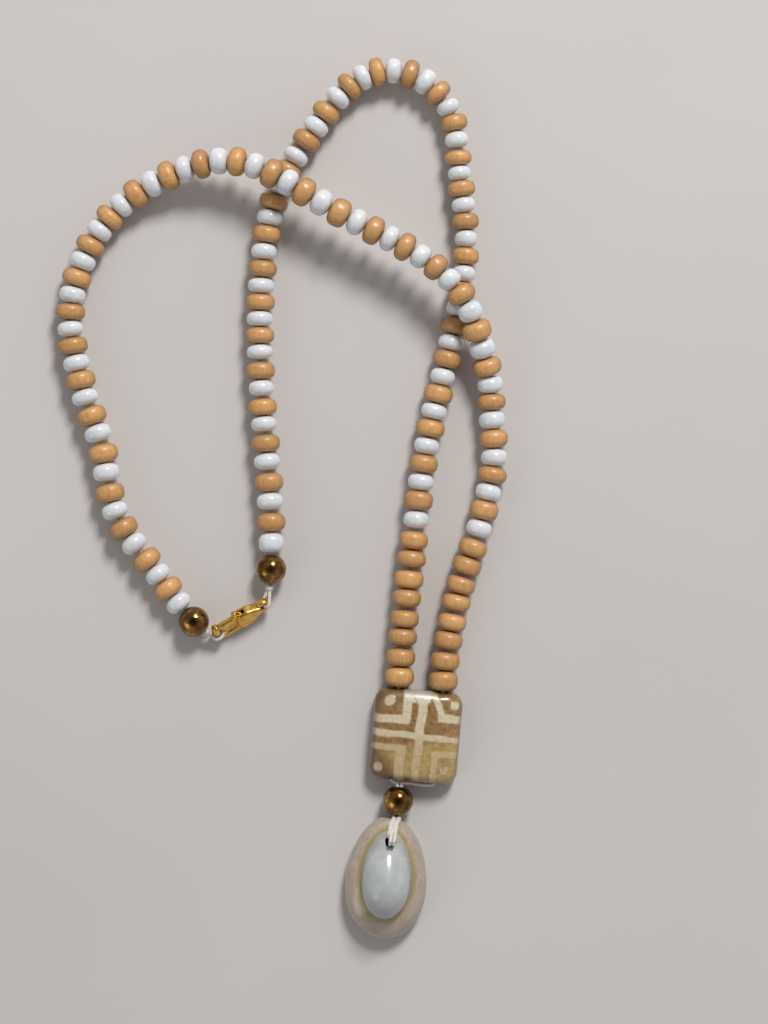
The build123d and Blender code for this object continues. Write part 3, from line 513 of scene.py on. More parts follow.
def bead_of(pts, tri, known_axis=None):
    """Centre, axis, half length, radius and bore radius of a turned bead, in mm."""
    a, b, c = pts[tri[:, 0]], pts[tri[:, 1]], pts[tri[:, 2]]
    cross = np.cross(b - a, c - a)
    area = np.linalg.norm(cross, axis=1) / 2
    keep = area > 1e-9
    nrm = cross[keep] / (2 * area[keep])[:, None]
    area, cen = area[keep], ((a + b + c) / 3)[keep]
    centre = (cen * area[:, None]).sum(0) / area.sum()
    sign = np.sign(nrm[np.arange(len(nrm)), np.abs(nrm).argmax(1)])
    q = np.round(nrm * sign[:, None], 2)
    keys, inv = np.unique(q, axis=0, return_inverse=True)
    inv = np.asarray(inv).ravel()
    weight = np.bincount(inv, weights=area)
    best = None
    for k in np.argsort(-weight)[:24]:
        sel = inv == k
        axis = unit((nrm[sel] * sign[sel][:, None] * area[sel][:, None]).sum(0)) if known_axis is None else unit(known_axis)
        d = pts - centre
        s = d @ axis
        radial = np.linalg.norm(d - s[:, None] * axis, axis=1)
        # on the true axis every vertex sits outside the bore, and the bore is round
        score = radial.min()
        if best is None or score > best[0]:
            best = (score, axis, s, radial)
    score, axis, s, radial = best
    centre = centre + axis * (s.max() + s.min()) / 2
    return centre, axis, (s.max() - s.min()) / 2, radial.max(), score


def lathe_beads(name, beads, kind, mat):
    """One mesh of turned beads, each a little different, with its bore, rounded shoulders and local coordinates for the material."""
    around = 44
    verts, faces, place, seed = [], [], [], []
    for centre, axis, half, radius, bore, more in beads:
        s3 = np.random.default_rng(int(abs(centre[0] * 131 + centre[1] * 977 + centre[2] * 7) * 100)).uniform(size=8)
        x = unit(np.cross(axis, [0.03, 0.02, 1.0]))
        y = np.cross(axis, x)
        if kind == "wood":
            power, grow, lump, dish = 2.50 + 0.5 * s3[0], 0.018 + 0.018 * s3[1], 0.012, 0.03
        elif kind == "glass":
            power, grow, lump, dish = 2.22 + 0.30 * s3[0], 0.020 + 0.050 * s3[1], 0.016, 0.02
        else:
            power, grow, lump, dish = 2.0, 0.0, 0.0015, 0.0
        # the beads strung at the far side of the loop are a slimmer lot than those by the clasp
        slim = smoothstep(-2.0, 3.0, centre[0]) * smoothstep(80.0, 92.0, centre[1]) * smoothstep(131.0, 124.0, centre[1])
        r_out = radius * (1.0 + grow - (0.115 if kind == "glass" else 0.075) * slim + 0.02 * smoothstep(-45.0, -60.0, centre[0]))
        mouth = bore + (0.16 if kind == "wood" else 0.12)
        prof = []
        tmax = math.acos(min(1.0, (mouth / r_out) ** (power / 2)))
        steps = 13 if kind != "bronze" else 26
        for t in np.linspace(-tmax, tmax, 2 * steps + 1):
            r = r_out * abs(math.cos(t)) ** (2 / power)
            s = half * abs(math.sin(t)) ** (2 / power) * (1 if t > 0 else -1)
            if kind == "bronze":
                r, s = r_out * math.cos(t), r_out * math.sin(t)
            prof.append((r, s))
        end = prof[-1][1]
        prof = (
            [(bore, 0.0), (bore, -end * 0.6), (bore, -end + 0.16), (bore + 0.05, -end + 0.07), (bore + 0.10 if kind != "glass" else bore + 0.07, -end + 0.015)]
            + prof
            + [(bore + 0.10 if kind != "glass" else bore + 0.07, end - 0.015), (bore + 0.05, end - 0.07), (bore, end - 0.16), (bore, end * 0.6)]
        )
        prof = np.array(prof)
        ang = np.linspace(0, 2 * math.pi, around, endpoint=False)
        r, a = np.meshgrid(prof[:, 0], ang, indexing="ij")
        s, _ = np.meshgrid(prof[:, 1], ang, indexing="ij")
        out = smoothstep(bore + 0.1, r_out, r)
        s = s * np.where(s > 0, 1 + more[1] / half, 1 + more[0] / half)
        ph = s3 * 6.28
        shape = 1 + lump * out * (0.6 * np.cos(2 * a + ph[2]) + 0.4 * np.cos(3 * a + ph[3] + s) - 0.5)
        r2 = r * shape
        if kind != "bronze":
            s2 = s - np.sign(s) * dish * (1 - smoothstep(0.9, 1.7, r)) * 0.5
            s2 = s2 + 0.035 * out * np.cos(a + ph[4]) * (1 - np.abs(s) / half) * (2 if kind == "glass" else 1)
        else:
            s2 = s
        loc = np.stack([r2 * np.cos(a), r2 * np.sin(a), s2], -1).reshape(-1, 3)
        first = sum(len(v) for v in verts)
        verts.append(centre + loc[:, :1] * x + loc[:, 1:2] * y + loc[:, 2:] * axis)
        place.append(loc)
        seed.append(np.tile(s3[5:8], (len(loc), 1)))
        m = len(prof)
        for i in range(m):
            k = (i + 1) % m
            for j in range(around):
                l = (j + 1) % around
                faces.append((first + i * around + j, first + i * around + l, first + k * around + l, first + k * around + j))
    me = new_mesh(name, np.vstack(verts), faces)
    put_vector(me, "bead_place", np.vstack(place))
    put_vector(me, "bead_seed", np.vstack(seed))
    return new_object(name, me, mat)


ALL_BEADS = []
NODE_BEADS = {}
for node, slot in SLOT.items():
    if slot not in ("wood", "white_glass", "bronze_bead"):
        continue
    spin = JOINTS.get(node.replace("_bead", "_spin"))  # the bronze beads have no flat ends, and turn on a joint of their own
    NODE_BEADS[node] = [bead_of(p, t, spin["axis"] if spin else None) for p, t in loose_solids(node)]
    for b in NODE_BEADS[node]:
        if b[4] < 0.5:
            raise RuntimeError(f"no bore found in {node}: {b}")
        ALL_BEADS.append((node, NODE_BODY[node], b))


def room(node, bead):
    """How far a bead can grow at its two ends, (-axis, +axis), before it meets its neighbour on the same body halfway."""
    centre, axis, half = bead[:3]
    out = [0.045, 0.045]
    for there, body, other in ALL_BEADS:
        if body != NODE_BODY[node] or other is bead:
            continue
        d = other[0] - centre
        dist = np.linalg.norm(d)
        if dist > half + other[2] + 1.2:
            continue
        along = (d / dist) @ axis
        if abs(along) < 0.86 or abs((d / dist) @ other[1]) < 0.80:
            continue
        gap = dist - half - other[2]
        glass, glass_there = "glass" in node, "glass" in there
        share = 0.5 if glass == glass_there else (0.92 if glass else 0.08)  # the rounder glass beads fill the gaps
        out[1 if along > 0 else 0] = min(0.45, max(0.02, gap * share + 0.015))
    return out


for node, beads in NODE_BEADS.items():
    kind = {"wood": "wood", "white_glass": "glass", "bronze_bead": "bronze"}[SLOT[node]]
    ob = lathe_beads("look_" + node, [(*b, [0.0, 0.0] if kind == "bronze" else room(node, b)) for b in beads], kind, MAT[SLOT[node]])
    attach(ob, NODE_BODY[node])
    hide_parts(node)


# ------------------------------------------------------------------ cords
def cord(name, points, body=None, radius=0.34, blend=None, twist=2.1, strands=3, step=0.12, taper=False):
    """A twisted cord through points (mm), drawn as a round section with strands winding round it."""
    pts = np.asarray(points, float)
    # Catmull-Rom resample
    p = np.vstack([2 * pts[0] - pts[1], pts, 2 * pts[-1] - pts[-2]])
    path = []
    for i in range(1, len(p) - 2):
        n = max(2, int(np.linalg.norm(p[i + 1] - p[i]) / step))
        for t in np.arange(n) / n:
            path.append(
                0.5 * ((2 * p[i]) + (-p[i - 1] + p[i + 1]) * t + (2 * p[i - 1] - 5 * p[i] + 4 * p[i + 1] - p[i + 2]) * t**2 + (-p[i - 1] + 3 * p[i] - 3 * p[i + 1] + p[i + 2]) * t**3)
            )
    path.append(pts[-1])
    path = np.array(path)
    tang = np.gradient(path, axis=0)
    tang /= np.linalg.norm(tang, axis=1)[:, None]
    side = unit(np.cross(tang[0], [0.13, 0.21, 1.0]))
    along = 0.0
    around = 18
    verts, place = [], []
    for i, (c, t) in enumerate(zip(path, tang)):
        if i:
            along += np.linalg.norm(path[i] - path[i - 1])
        side = unit(side - t * (side @ t))
        up = np.cross(t, side)
        ang = np.linspace(0, 2 * math.pi, around, endpoint=False)
        ph = strands * (ang - along * twist)
        r = radius * (1 + 0.13 * np.abs(np.cos(ph / 2)) - 0.10)
        if taper and (i == 0 or i == len(path) - 1):
            r = r * 0.55
        verts.append(c + np.outer(r * np.cos(ang), side) + np.outer(r * np.sin(ang), up))
        place.append(np.stack([np.cos(ang), np.full(around, along), ph / 6.28], -1))
    m = len(path)
    faces = []
    for i in range(m - 1):
        for j in range(around):
            l = (j + 1) % around
            faces.append((i * around + j, i * around + l, (i + 1) * around + l, (i + 1) * around + j))
    faces.append(tuple(range(around))[::-1])
    faces.append(tuple((m - 1) * around + j for j in range(around)))
    me = new_mesh(name, np.vstack(verts), faces)
    put_vector(me, "cord_place", np.vstack(place))
    ob = new_object(name, me, MAT["thread"])
    if blend:
        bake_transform(ob)
    elif body:
        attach(ob, body)
    return ob


def knot(name, centre, axis, body, size=1.0):
    """An overhand knot: a cord wound over itself in a tight trefoil."""
    axis = unit(axis)
    x = unit(np.cross(axis, [0.2, 0.1, 1.0]))
    y = np.cross(axis, x)
    pts = []
    for t in np.linspace(0, 2 * math.pi, 25):
        r = (0.30 + 0.155 * math.cos(3 * t)) * size
        pts.append(centre + x * r * math.cos(2 * t) * 1.15 + y * r * math.sin(2 * t) * 1.15 + axis * 0.30 * size * math.sin(3 * t))
    return cord(name, pts, body=body, radius=0.30 * (0.5 + 0.5 * size), step=0.08)


def joint_mm(name):
    return np.array(JOINTS[name]["pos_m"]) / MM, np.array(JOINTS[name]["axis"])


# plain thread nodes inside the beads keep their CAD mesh
for node, slot in SLOT.items():
    if slot == "thread":
        me = frame["nodes"][node].data
        me.materials.clear()
        me.materials.append(MAT["thread"])
for node in ("clasp_hook", "clasp_lever", "clasp_rivet", "clasp_spring"):
    me = frame["nodes"][node].data
    me.materials.clear()
    me.materials.append(MAT[SLOT[node]])

# a short cord across each fold, on each strand, so that the thread never shows a cut
FOLDS = [j for j in frame["record"]["behaviour"]["joints"] if j["name"].split("_")[1] == "lift" and j["name"][0] in "plt"]
for j in FOLDS:
    parent, child = j["parent"], j["child"]
    pos, ax = np.array(j["pos_m"]) / MM, np.array(j["axis"])
    # neighbours on one strand: a bead of each body, nearly touching and nearly in line
    if child == "tile":
        pairs = [(b, None) for _, bd, b in ALL_BEADS if bd == parent and abs((b[0] - pos) @ unit(np.cross(ax, [0, 0, 1.0]))) < 3.0]
    else:
        mine = [b for node, bd, b in ALL_BEADS if bd == parent and "brass" not in node]
        theirs = [b for node, bd, b in ALL_BEADS if bd == child and "brass" not in node]
        pairs = []
        for p_bead in mine:
            for c_bead in theirs:
                d = c_bead[0] - p_bead[0]
                gap = np.linalg.norm(d) - p_bead[2] - c_bead[2]
                line = min(abs(unit(d) @ p_bead[1]), abs(unit(d) @ c_bead[1]))
                if gap < 1.3 and line > 0.86:
                    pairs.append((p_bead, c_bead))
    for k, (p_bead, c_bead) in enumerate(pairs):
        if c_bead is None:
            pa = p_bead[1] if p_bead[1][1] < 0 else -p_bead[1]
            a0, a1 = p_bead[0] + pa * (p_bead[2] - 0.7), p_bead[0] + pa * p_bead[2]
            b1, b0 = a1 + pa * 0.7, a1 + pa * 1.3
        else:
            direction = unit(c_bead[0] - p_bead[0])
            pa = p_bead[1] if p_bead[1] @ direction > 0 else -p_bead[1]
            ca = c_bead[1] if c_bead[1] @ direction > 0 else -c_bead[1]
            a0, a1 = p_bead[0] + pa * (p_bead[2] - 0.7), p_bead[0] + pa * p_bead[2]
            b1, b0 = c_bead[0] - ca * c_bead[2], c_bead[0] - ca * (c_bead[2] - 0.7)
        cord(f"cord_{j['name']}_{k}", [a0, a1, (a1 + b1) / 2, b1, b0], radius=0.36, blend=(parent, child, a1 - (b1 - a1) * 0.2, b1 + (b1 - a1) * 0.2))


# ------------------------------------------------------------------ frames of the tile, shell and clasp
drop_point, _ = joint_mm("pendant_swing")
shell_point, shell_axis = joint_mm("cowrie_lift")
brass_point, brass_axis = joint_mm("pendant_brass_spin")
TX = unit([-shell_axis[0], -shell_axis[1], 0])
TY = np.array([-TX[1], TX[0], 0.0])
CT = math.radians(-4.2)
CX, CY = np.array([math.cos(CT), math.sin(CT), 0]), np.array([-math.sin(CT), math.cos(CT), 0])
shell_lo, shell_hi = (np.array(v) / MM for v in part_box("cowrie_shell"))
C0 = np.array([(shell_lo[0] + shell_hi[0]) / 2 - 0.15, (shell_lo[1] + shell_hi[1]) / 2 + 0.55, 0.0])
clasp_0, CU = joint_mm("clasp_roll")
pivot, CW = joint_mm("lever_open")
CV = np.cross(CW, CU)


def on_tile(x, y, z):
    return TX * x + TY * y + np.array([0, 0, z])


def on_shell(x, y, z):
    return C0 + CX * x + CY * y + np.array([0, 0, z])


def on_clasp(u, v, w):
    return clasp_0 + CU * u + CV * v + CW * w


# ------------------------------------------------------------------ tile bead
TW, TH = 17.5, 18.0
STRETCH = 0.27
tile_lo, tile_hi = (np.array(v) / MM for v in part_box("tile_bead"))
TT = tile_hi[2]


def rounded_rect(n, corner):
    """Points round a rounded rectangle of half sizes 1 x 1 per millimetre size, evenly spaced."""
    hx, hy = TW / 2, TH / 2
    pts = []
    segs = []
    cx, cy = hx - corner, hy - corner
    for k, (sx, sy, a0) in enumerate(((1, -1, -90), (1, 1, 0), (-1, 1, 90), (-1, -1, 180))):
        for a in np.linspace(a0, a0 + 90, 24):
            pts.append((sx * cx + corner * math.cos(math.radians(a)), sy * cy + corner * math.sin(math.radians(a))))
    pts.append(pts[0])
    pts = np.array(pts)
    d = np.concatenate([[0], np.cumsum(np.linalg.norm(np.diff(pts, axis=0), axis=1))])
    t = np.linspace(0, d[-1], n, endpoint=False)
    return np.stack([np.interp(t, d, pts[:, 0]), np.interp(t, d, pts[:, 1])], -1)


def box_sd(x, y, cx, cy, hx, hy, r=0.3):
    dx, dy = np.abs(x - cx) - hx + r, np.abs(y - cy) - hy + r
    return np.hypot(np.maximum(dx, 0), np.maximum(dy, 0)) + np.minimum(np.maximum(dx, dy), 0) - r


def tile_pattern(x, y):
    """Signed distance to the nearest pale line (mm, negative inside), with a hand-drawn wobble: a cross, corner brackets and dots."""
    p = np.stack([x, y, np.zeros_like(x)], -1)
    x = x + 0.16 * wobble(p, 0.55, 11) + 0.05 * wobble(p, 2.2, 12)
    y = y + 0.16 * wobble(p, 0.55, 13) + 0.05 * wobble(p, 2.2, 14)
    parts = [
        box_sd(x, y, 0.60 + 0.02 * y, 0.0, 0.88, 9.6),  # upright of the cross
        box_sd(x, y, 0.0, 0.22 - 0.035 * x, 9.4, 0.66),  # its arm
        box_sd(x, y, -5.6, 3.30, 4.1, 0.86),  # upper left bracket
        box_sd(x, y, -2.25, 6.2, 0.86, 3.6),
        box_sd(x, y, 7.0, 4.05, 3.1, 0.78),  # upper right bracket
        box_sd(x, y, 4.95 - 0.46 * (y - 4.0), 6.5, 0.72, 3.0),
        box_sd(x, y, -6.3, -2.25, 3.6, 0.66),  # lower left bracket
        box_sd(x, y, -2.85, -5.9, 1.0, 4.1),
        box_sd(x, y, 6.6, -2.95, 3.3, 0.66),  # lower right bracket
        box_sd(x, y, 4.05, -6.1, 0.70, 3.6),
        box_sd(x, y, -0.3, 8.2, 2.6, 1.35, 0.5),  # pale field at the top
        np.hypot(x + 5.72, y - 6.83) - 1.08,
        np.hypot(x - 7.05, y - 6.75) - 0.92,
        np.hypot(x + 6.95, y + 6.5) - 0.98,
        np.hypot(x - 6.2, y + 6.1) - 0.92,
    ]
    d = parts[0]
    for q in parts[1:]:
        h = np.clip(0.5 + 0.5 * (d - q) / 0.35, 0, 1)
        d = d * (1 - h) + q * h - 0.35 * h * (1 - h)
    return d


def build_tile():
    n = 420
    corner, top_r, back_r = 2.6, 1.75, 0.85
    outline = rounded_rect(n, corner)
    rings = []
    inner = 74
    hx = TW / 2

    def ring(scale_inset, z_fn):
        # inset in mm, measured from the side
        k = np.array([(TW / 2 - scale_inset) / (TW / 2), (TH / 2 - scale_inset) / (TH / 2)])
        xy = outline * k
        return xy, z_fn(xy)

    def crown(xy):
        return TT - (xy**2).sum(1) / (2 * 45.0)

    def add(xy, z):
        rings.append(np.column_stack([xy, z]))

    # top, from just off the centre to the start of the rounded edge
    for s in np.linspace(0.004, 1, inner):
        k = np.array([(TW / 2 - top_r) / (TW / 2), (TH / 2 - top_r) / (TH / 2)]) * s
        xy = outline * k
        add(xy, crown(xy))
    for a in np.linspace(0, 90, 13)[1:]:
        a = math.radians(a)
        xy, _ = ring(top_r * (1 - math.sin(a)), crown)
        add(xy, crown(xy) - top_r * (1 - math.cos(a)))
    z0 = rings[-1][:, 2].copy()
    for t in np.linspace(0, 1, 7)[1:]:
        xy, _ = ring(-0.02 * math.sin(math.pi * t), crown)
        add(xy, z0 * (1 - t) + back_r * t)
    for a in np.linspace(0, 90, 9)[1:]:
        a = math.radians(a)
        xy, _ = ring(back_r * (1 - math.cos(a)), crown)
        add(xy, np.full(n, back_r * (1 - math.sin(a))))
    for s in np.linspace(1, 0.01, 14)[1:]:
        k = np.array([(TW / 2 - back_r) / (TW / 2), (TH / 2 - back_r) / (TH / 2)]) * s
        add(outline * k, np.zeros(n))
    P = np.array(rings)
    m = len(rings)
    flat = P.reshape(-1, 3)
    faces = [tuple(range(n))]
    for i in range(m - 1):
        for j in range(n):
            l = (j + 1) % n
            faces.append((i * n + j, (i + 1) * n + j, (i + 1) * n + l, i * n + l))
    faces.append(tuple((m - 1) * n + j for j in range(n))[::-1])
    # relief: lines stand a hair proud, dyed ground is slightly worn
    d = tile_pattern(flat[:, 0], flat[:, 1])
    up = smoothstep(1.0, 3.5, flat[:, 2])
    flat = flat.copy()
    flat[:, 2] += up * (0.035 * smoothstep(0.12, -0.12, d) - 0.02 * np.abs(wobble(flat, 1.2, 21)) - 0.01)
    flat[:, :2] *= 1 + 0.0035 * wobble(flat, 0.5, 22)[:, None]
    flat[:, 1] += STRETCH * smoothstep(5.0, 9.0, flat[:, 1])
    world = flat[:, :1] * TX + flat[:, 1:2] * TY + flat[:, 2:] * np.array([0, 0, 1.0])
    me = new_mesh("look_tile_bead", world, faces)
    ob = new_object("look_tile_bead", me)
    # bores, with a chipped mouth at each end
    for x in (-4.2, 4.6):
        bm = bmesh.new()
        prof = [(0.62, -8.2), (0.66, -8.7), (0.86, -9.05), (1.1, -9.6), (0.62, 8.2), (0.66, 8.7), (0.88, 9.05), (1.15, 9.6)]
        ys = [(-9.8, 1.12), (-9.2, 0.95), (-8.85, 0.74), (-8.3, 0.62), (8.3, 0.62), (8.85, 0.76), (9.2, 1.0), (9.8, 1.2)]
        loops = []
        for y, r in ys:
            loop = []
            for k in range(28):
                a = 2 * math.pi * k / 28
                q = on_tile(x + r * math.cos(a), y, 2.85 + r * math.sin(a)) * MM
                loop.append(bm.verts.new(q))
            loops.append(loop)
        for A, B in zip(loops, loops[1:]):
            for k in range(28):
                bm.faces.new((A[k], A[(k + 1) % 28], B[(k + 1) % 28], B[k]))
        bm.faces.new(loops[0][::-1])
        bm.faces.new(loops[-1])
        bmesh.ops.recalc_face_normals(bm, faces=bm.faces)
        tool_me = bpy.data.meshes.new("bore_tool")
        bm.to_mesh(tool_me)
        bm.free()
        subtract(ob, new_object("bore_tool", tool_me))
    me = ob.data
    me.name = "look_tile_bead"
    me.polygons.foreach_set("use_smooth", np.ones(len(me.polygons), bool))
    w = verts_of(me) / MM
    x, y, z = w @ TX, w @ TY, w[:, 2]
    d = tile_pattern(x, y)
    top = smoothstep(2.0, 4.2, z)
    put_float(me, "line_mask", smoothstep(0.21, -0.17, d) * smoothstep(1.2, 3.2, z))
    low = smoothstep(1.5, -2.5, y)
    put_float(me, "line_fade", np.clip(low * 0.95 + 0.12 - 0.75 * smoothstep(8.5, 12.0, -x - y), 0, 1))
    put_float(me, "lower_half", smoothstep(0.5, -3.5, y - 0.25 * x))
    put_float(me, "top_white", smoothstep(6.2, 8.4, y) * smoothstep(3.6, 2.0, np.abs(x + 0.3)))
    put_float(me, "corner_dark", np.clip(smoothstep(7.6, 13.4, -x - y) * 0.9 + smoothstep(8.0, 13.0, y - x) * 0.28 + smoothstep(-7.4, -8.8, y) * smoothstep(5, 1, x) * 0.45 + smoothstep(-7.0, -8.4, x) * 0.50 + smoothstep(12.5, 16.0, y - x) * 0.5, 0, 0.9))
    inset = np.minimum(TW / 2 - np.abs(x), TH / 2 - np.abs(y))
    put_float(me, "edge_near", smoothstep(0.9, 0.1, inset))
    put_vector(me, "tile_place", np.stack([x, y, z], -1))
    me.materials.clear()
    me.materials.append(MAT["tile"])
    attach(ob, "tile")
    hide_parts("tile_bead")
    return ob


build_tile()


# ------------------------------------------------------------------ cowrie shell
def build_shell():
    n = 240
    th = np.linspace(0, 2 * math.pi, n, endpoint=False)
    # the same sections as the solid: height, width scale, length scale, shift
    sec = np.array(
        [
            (0.0, 0.84, 0.87, 0.0), (0.9, 0.955, 0.968, 0.0), (2.2, 1.0, 1.0, 0.0), (3.4, 0.965, 0.97, 0.15), (4.6, 0.88, 0.90, 0.5),
            (5.4, 0.765, 0.81, 0.95), (6.1, 0.640, 0.735, 1.25), (6.7, 0.600, 0.700, 1.05), (7.6, 0.560, 0.580, -0.15), (8.7, 0.470, 0.465, -0.50),
            (9.7, 0.350, 0.340, -0.80), (10.4, 0.220, 0.212, -1.00), (10.8, 0.095, 0.092, -1.15),
        ]
    )
    # arc length along the side profile, then a smooth curve through the sections
    prof = np.column_stack([sec[:, 1] * 8.1, sec[:, 0]])
    d = np.concatenate([[0], np.cumsum(np.linalg.norm(np.diff(prof, axis=0), axis=1))])
    m = 96
    t = np.linspace(0, d[-1], m)

    def hermite(col):
        slope = np.gradient(sec[:, col], d)
        k = np.clip(np.searchsorted(d, t, side="right") - 1, 0, len(d) - 2)
        h = d[k + 1] - d[k]
        s = (t - d[k]) / h
        a, b = sec[k, col], sec[k + 1, col]
        ma, mb = slope[k] * h, slope[k + 1] * h
        return (2 * s**3 - 3 * s**2 + 1) * a + (s**3 - 2 * s**2 + s) * ma + (-2 * s**3 + 3 * s**2) * b + (s**3 - s**2) * mb

    z, sw, sl, sh = (hermite(c) for c in range(4))
    rings = []
    ex, ey = np.cos(th) * (1 - 0.11 * np.sin(th)), np.sin(th)
    # underside: from the mouth outwards to the rim
    under = 34
    slot_half = 0.62
    for depth in (2.6, 2.0, 1.4, 0.9):
        w = slot_half + (0.25 if depth > 1.6 else 0.0)
        rings.append(np.column_stack([0.15 + w * np.sign(np.cos(th)) * np.abs(np.cos(th)) ** 0.35, 11.0 * np.sin(th) * (1 - 0.02 * depth), np.full(n, depth)]))
    for s in np.linspace(0, 1, under):
        x0 = 0.15 + slot_half * np.sign(np.cos(th)) * np.abs(np.cos(th)) ** 0.35
        y0 = 11.0 * np.sin(th)
        x1, y1 = 8.1 * 0.84 * ex, 12.3 * 0.87 * ey
        e = s**1.15
        x = x0 * (1 - e) + x1 * e
        y = y0 * (1 - e) + y1 * e
        lip = 0.75 * (1 - smoothstep(0, 0.16, s))
        rings.append(np.column_stack([x, y, np.full(n, lip)]))
    for k in range(1, m):
        rings.append(np.column_stack([8.1 * sw[k] * ex, sh[k] + 12.3 * sl[k] * ey, np.full(n, z[k])]))
    P = np.array(rings)
    count = len(rings)
    flat = P.reshape(-1, 3).copy()
    faces = []
    half = n // 2
    for i in range(count - 1):
        for j in range(n):
            l = (j + 1) % n
            faces.append((i * n + j, i * n + l, (i + 1) * n + l, (i + 1) * n + j))
    faces.append(tuple((count - 1) * n + j for j in range(n)))
    faces.append(tuple(range(n))[::-1])
    x, y, zz = flat.T
    # teeth along both lips, fading outwards
    lip_d = np.abs(x - 0.15) - slot_half
    tooth = smoothstep(3.4, 0.4, lip_d) * smoothstep(1.6, 0.6, zz) * smoothstep(11.6, 9.8, np.abs(y)) * (zz < 1.7)
    wave = np.cos(2 * math.pi * y / 1.32 + 0.35 * np.sign(x - 0.15))
    flat[:, 2] -= np.where(tooth > 0, 0.16 * tooth * (wave * 0.5 + 0.5), 0)
    flat[:, 0] -= np.where((zz < 1.5) & (lip_d < 0.35), 0.16 * np.sign(x - 0.15) * (wave * 0.5 + 0.5) * smoothstep(11.4, 10.0, np.abs(y)), 0)
    # canal notch at each end of the mouth
    canal = smoothstep(8.6, 11.6, np.abs(y)) * smoothstep(1.25, 0.35, np.abs(x - 0.35 * np.sign(y))) * smoothstep(2.6, 1.6, zz)
    flat[:, 2] += canal * (1.55 - zz).clip(0, 2) * (y > 0) + canal * 0.8 * (1.0 - zz).clip(0, 1) * (y < 0)
    # uneven growth: gentle swells on the callus and a slight asymmetry
    swell = wobble(flat, 0.42, 31)
    outer = smoothstep(0.6, 2.0, zz)
    rad = np.stack([flat[:, 0], flat[:, 1] * 0.6, np.zeros(len(flat))], -1)
    rad /= np.maximum(np.linalg.norm(rad, axis=1), 1e-6)[:, None]
    flat += rad * (0.10 * swell * outer * smoothstep(7.5, 5.0, zz))[:, None]
    ring_dip = np.exp(-(((zz - 6.3) / 0.38) ** 2))
    flat[:, 2] -= 0.10 * ring_dip
    flat -= rad * (0.07 * ring_dip)[:, None]
    flat[:, 2] += 0.05 * wobble(flat, 0.6, 33) * smoothstep(6.8, 8.5, zz)
    flat[:, 2] = np.maximum(flat[:, 2], 0.0)
    world = C0 + flat[:, :1] * CX + flat[:, 1:2] * CY + flat[:, 2:] * np.array([0, 0, 1.0])
    me = new_mesh("look_cowrie_shell", world, faces)
    ob = new_object("look_cowrie_shell", me)
    # drilled hole, slightly ragged
    bm = bmesh.new()
    loops = []
    for zt, r in ((1.2, 1.00), (4.0, 1.0), (5.6, 1.02), (6.6, 1.06), (7.4, 1.12), (12.0, 1.16)):
        loop = []
        for k in range(36):
            a = 2 * math.pi * k / 36
            rr = r * (1 + 0.03 * math.sin(3 * a + 1.0) + 0.02 * math.sin(5 * a))
            loop.append(bm.verts.new(on_shell(0.3 + rr * math.cos(a), 7.8 + rr * math.sin(a), zt) * MM))
        loops.append(loop)
    for A, B in zip(loops, loops[1:]):
        for k in range(36):
            bm.faces.new((A[k], A[(k + 1) % 36], B[(k + 1) % 36], B[k]))
    bm.faces.new(loops[0][::-1])
    bm.faces.new(loops[-1])
    bmesh.ops.recalc_face_normals(bm, faces=bm.faces)
    tool_me = bpy.data.meshes.new("drill_tool")
    bm.to_mesh(tool_me)
    bm.free()
    subtract(ob, new_object("drill_tool", tool_me))
    me = ob.data
    me.name = "look_cowrie_shell"
    me.polygons.foreach_set("use_smooth", np.ones(len(me.polygons), bool))
    w = verts_of(me) / MM - C0
    x, y, z = w @ CX, w @ CY, w[:, 2]
    put_vector(me, "shell_place", np.stack([x, y, z], -1))
    put_float(me, "ring_at", z - 6.3 + 0.10 * wobble(np.stack([x, y, z], -1), 0.7, 35))
    put_float(me, "base_side", smoothstep(1.6, 0.4, z))
    lip_d = np.abs(x - 0.15) - slot_half
    put_float(me, "tooth", smoothstep(3.4, 0.4, lip_d) * smoothstep(1.0, 0.4, z) * (np.cos(2 * math.pi * y / 1.32 + 0.35 * np.sign(x - 0.15)) * 0.5 + 0.5))
    in_hole = smoothstep(1.16, 1.02, np.hypot(x - 0.3, y - 7.8)) * smoothstep(7.2, 6.3, z)
    in_mouth = (np.abs(x - 0.15) < 1.0) * (np.abs(y) < 11.2) * smoothstep(0.7, 1.6, z) * (z < 3.0)
    # painted shade inside the drilled hole and the mouth
    put_float(me, "hole_and_mouth_shade", np.clip(in_hole + in_mouth, 0, 1))
    me.materials.clear()
    me.materials.append(MAT["shell"])
    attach(ob, "cowrie")
    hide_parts("cowrie_shell")
    return ob


build_shell()

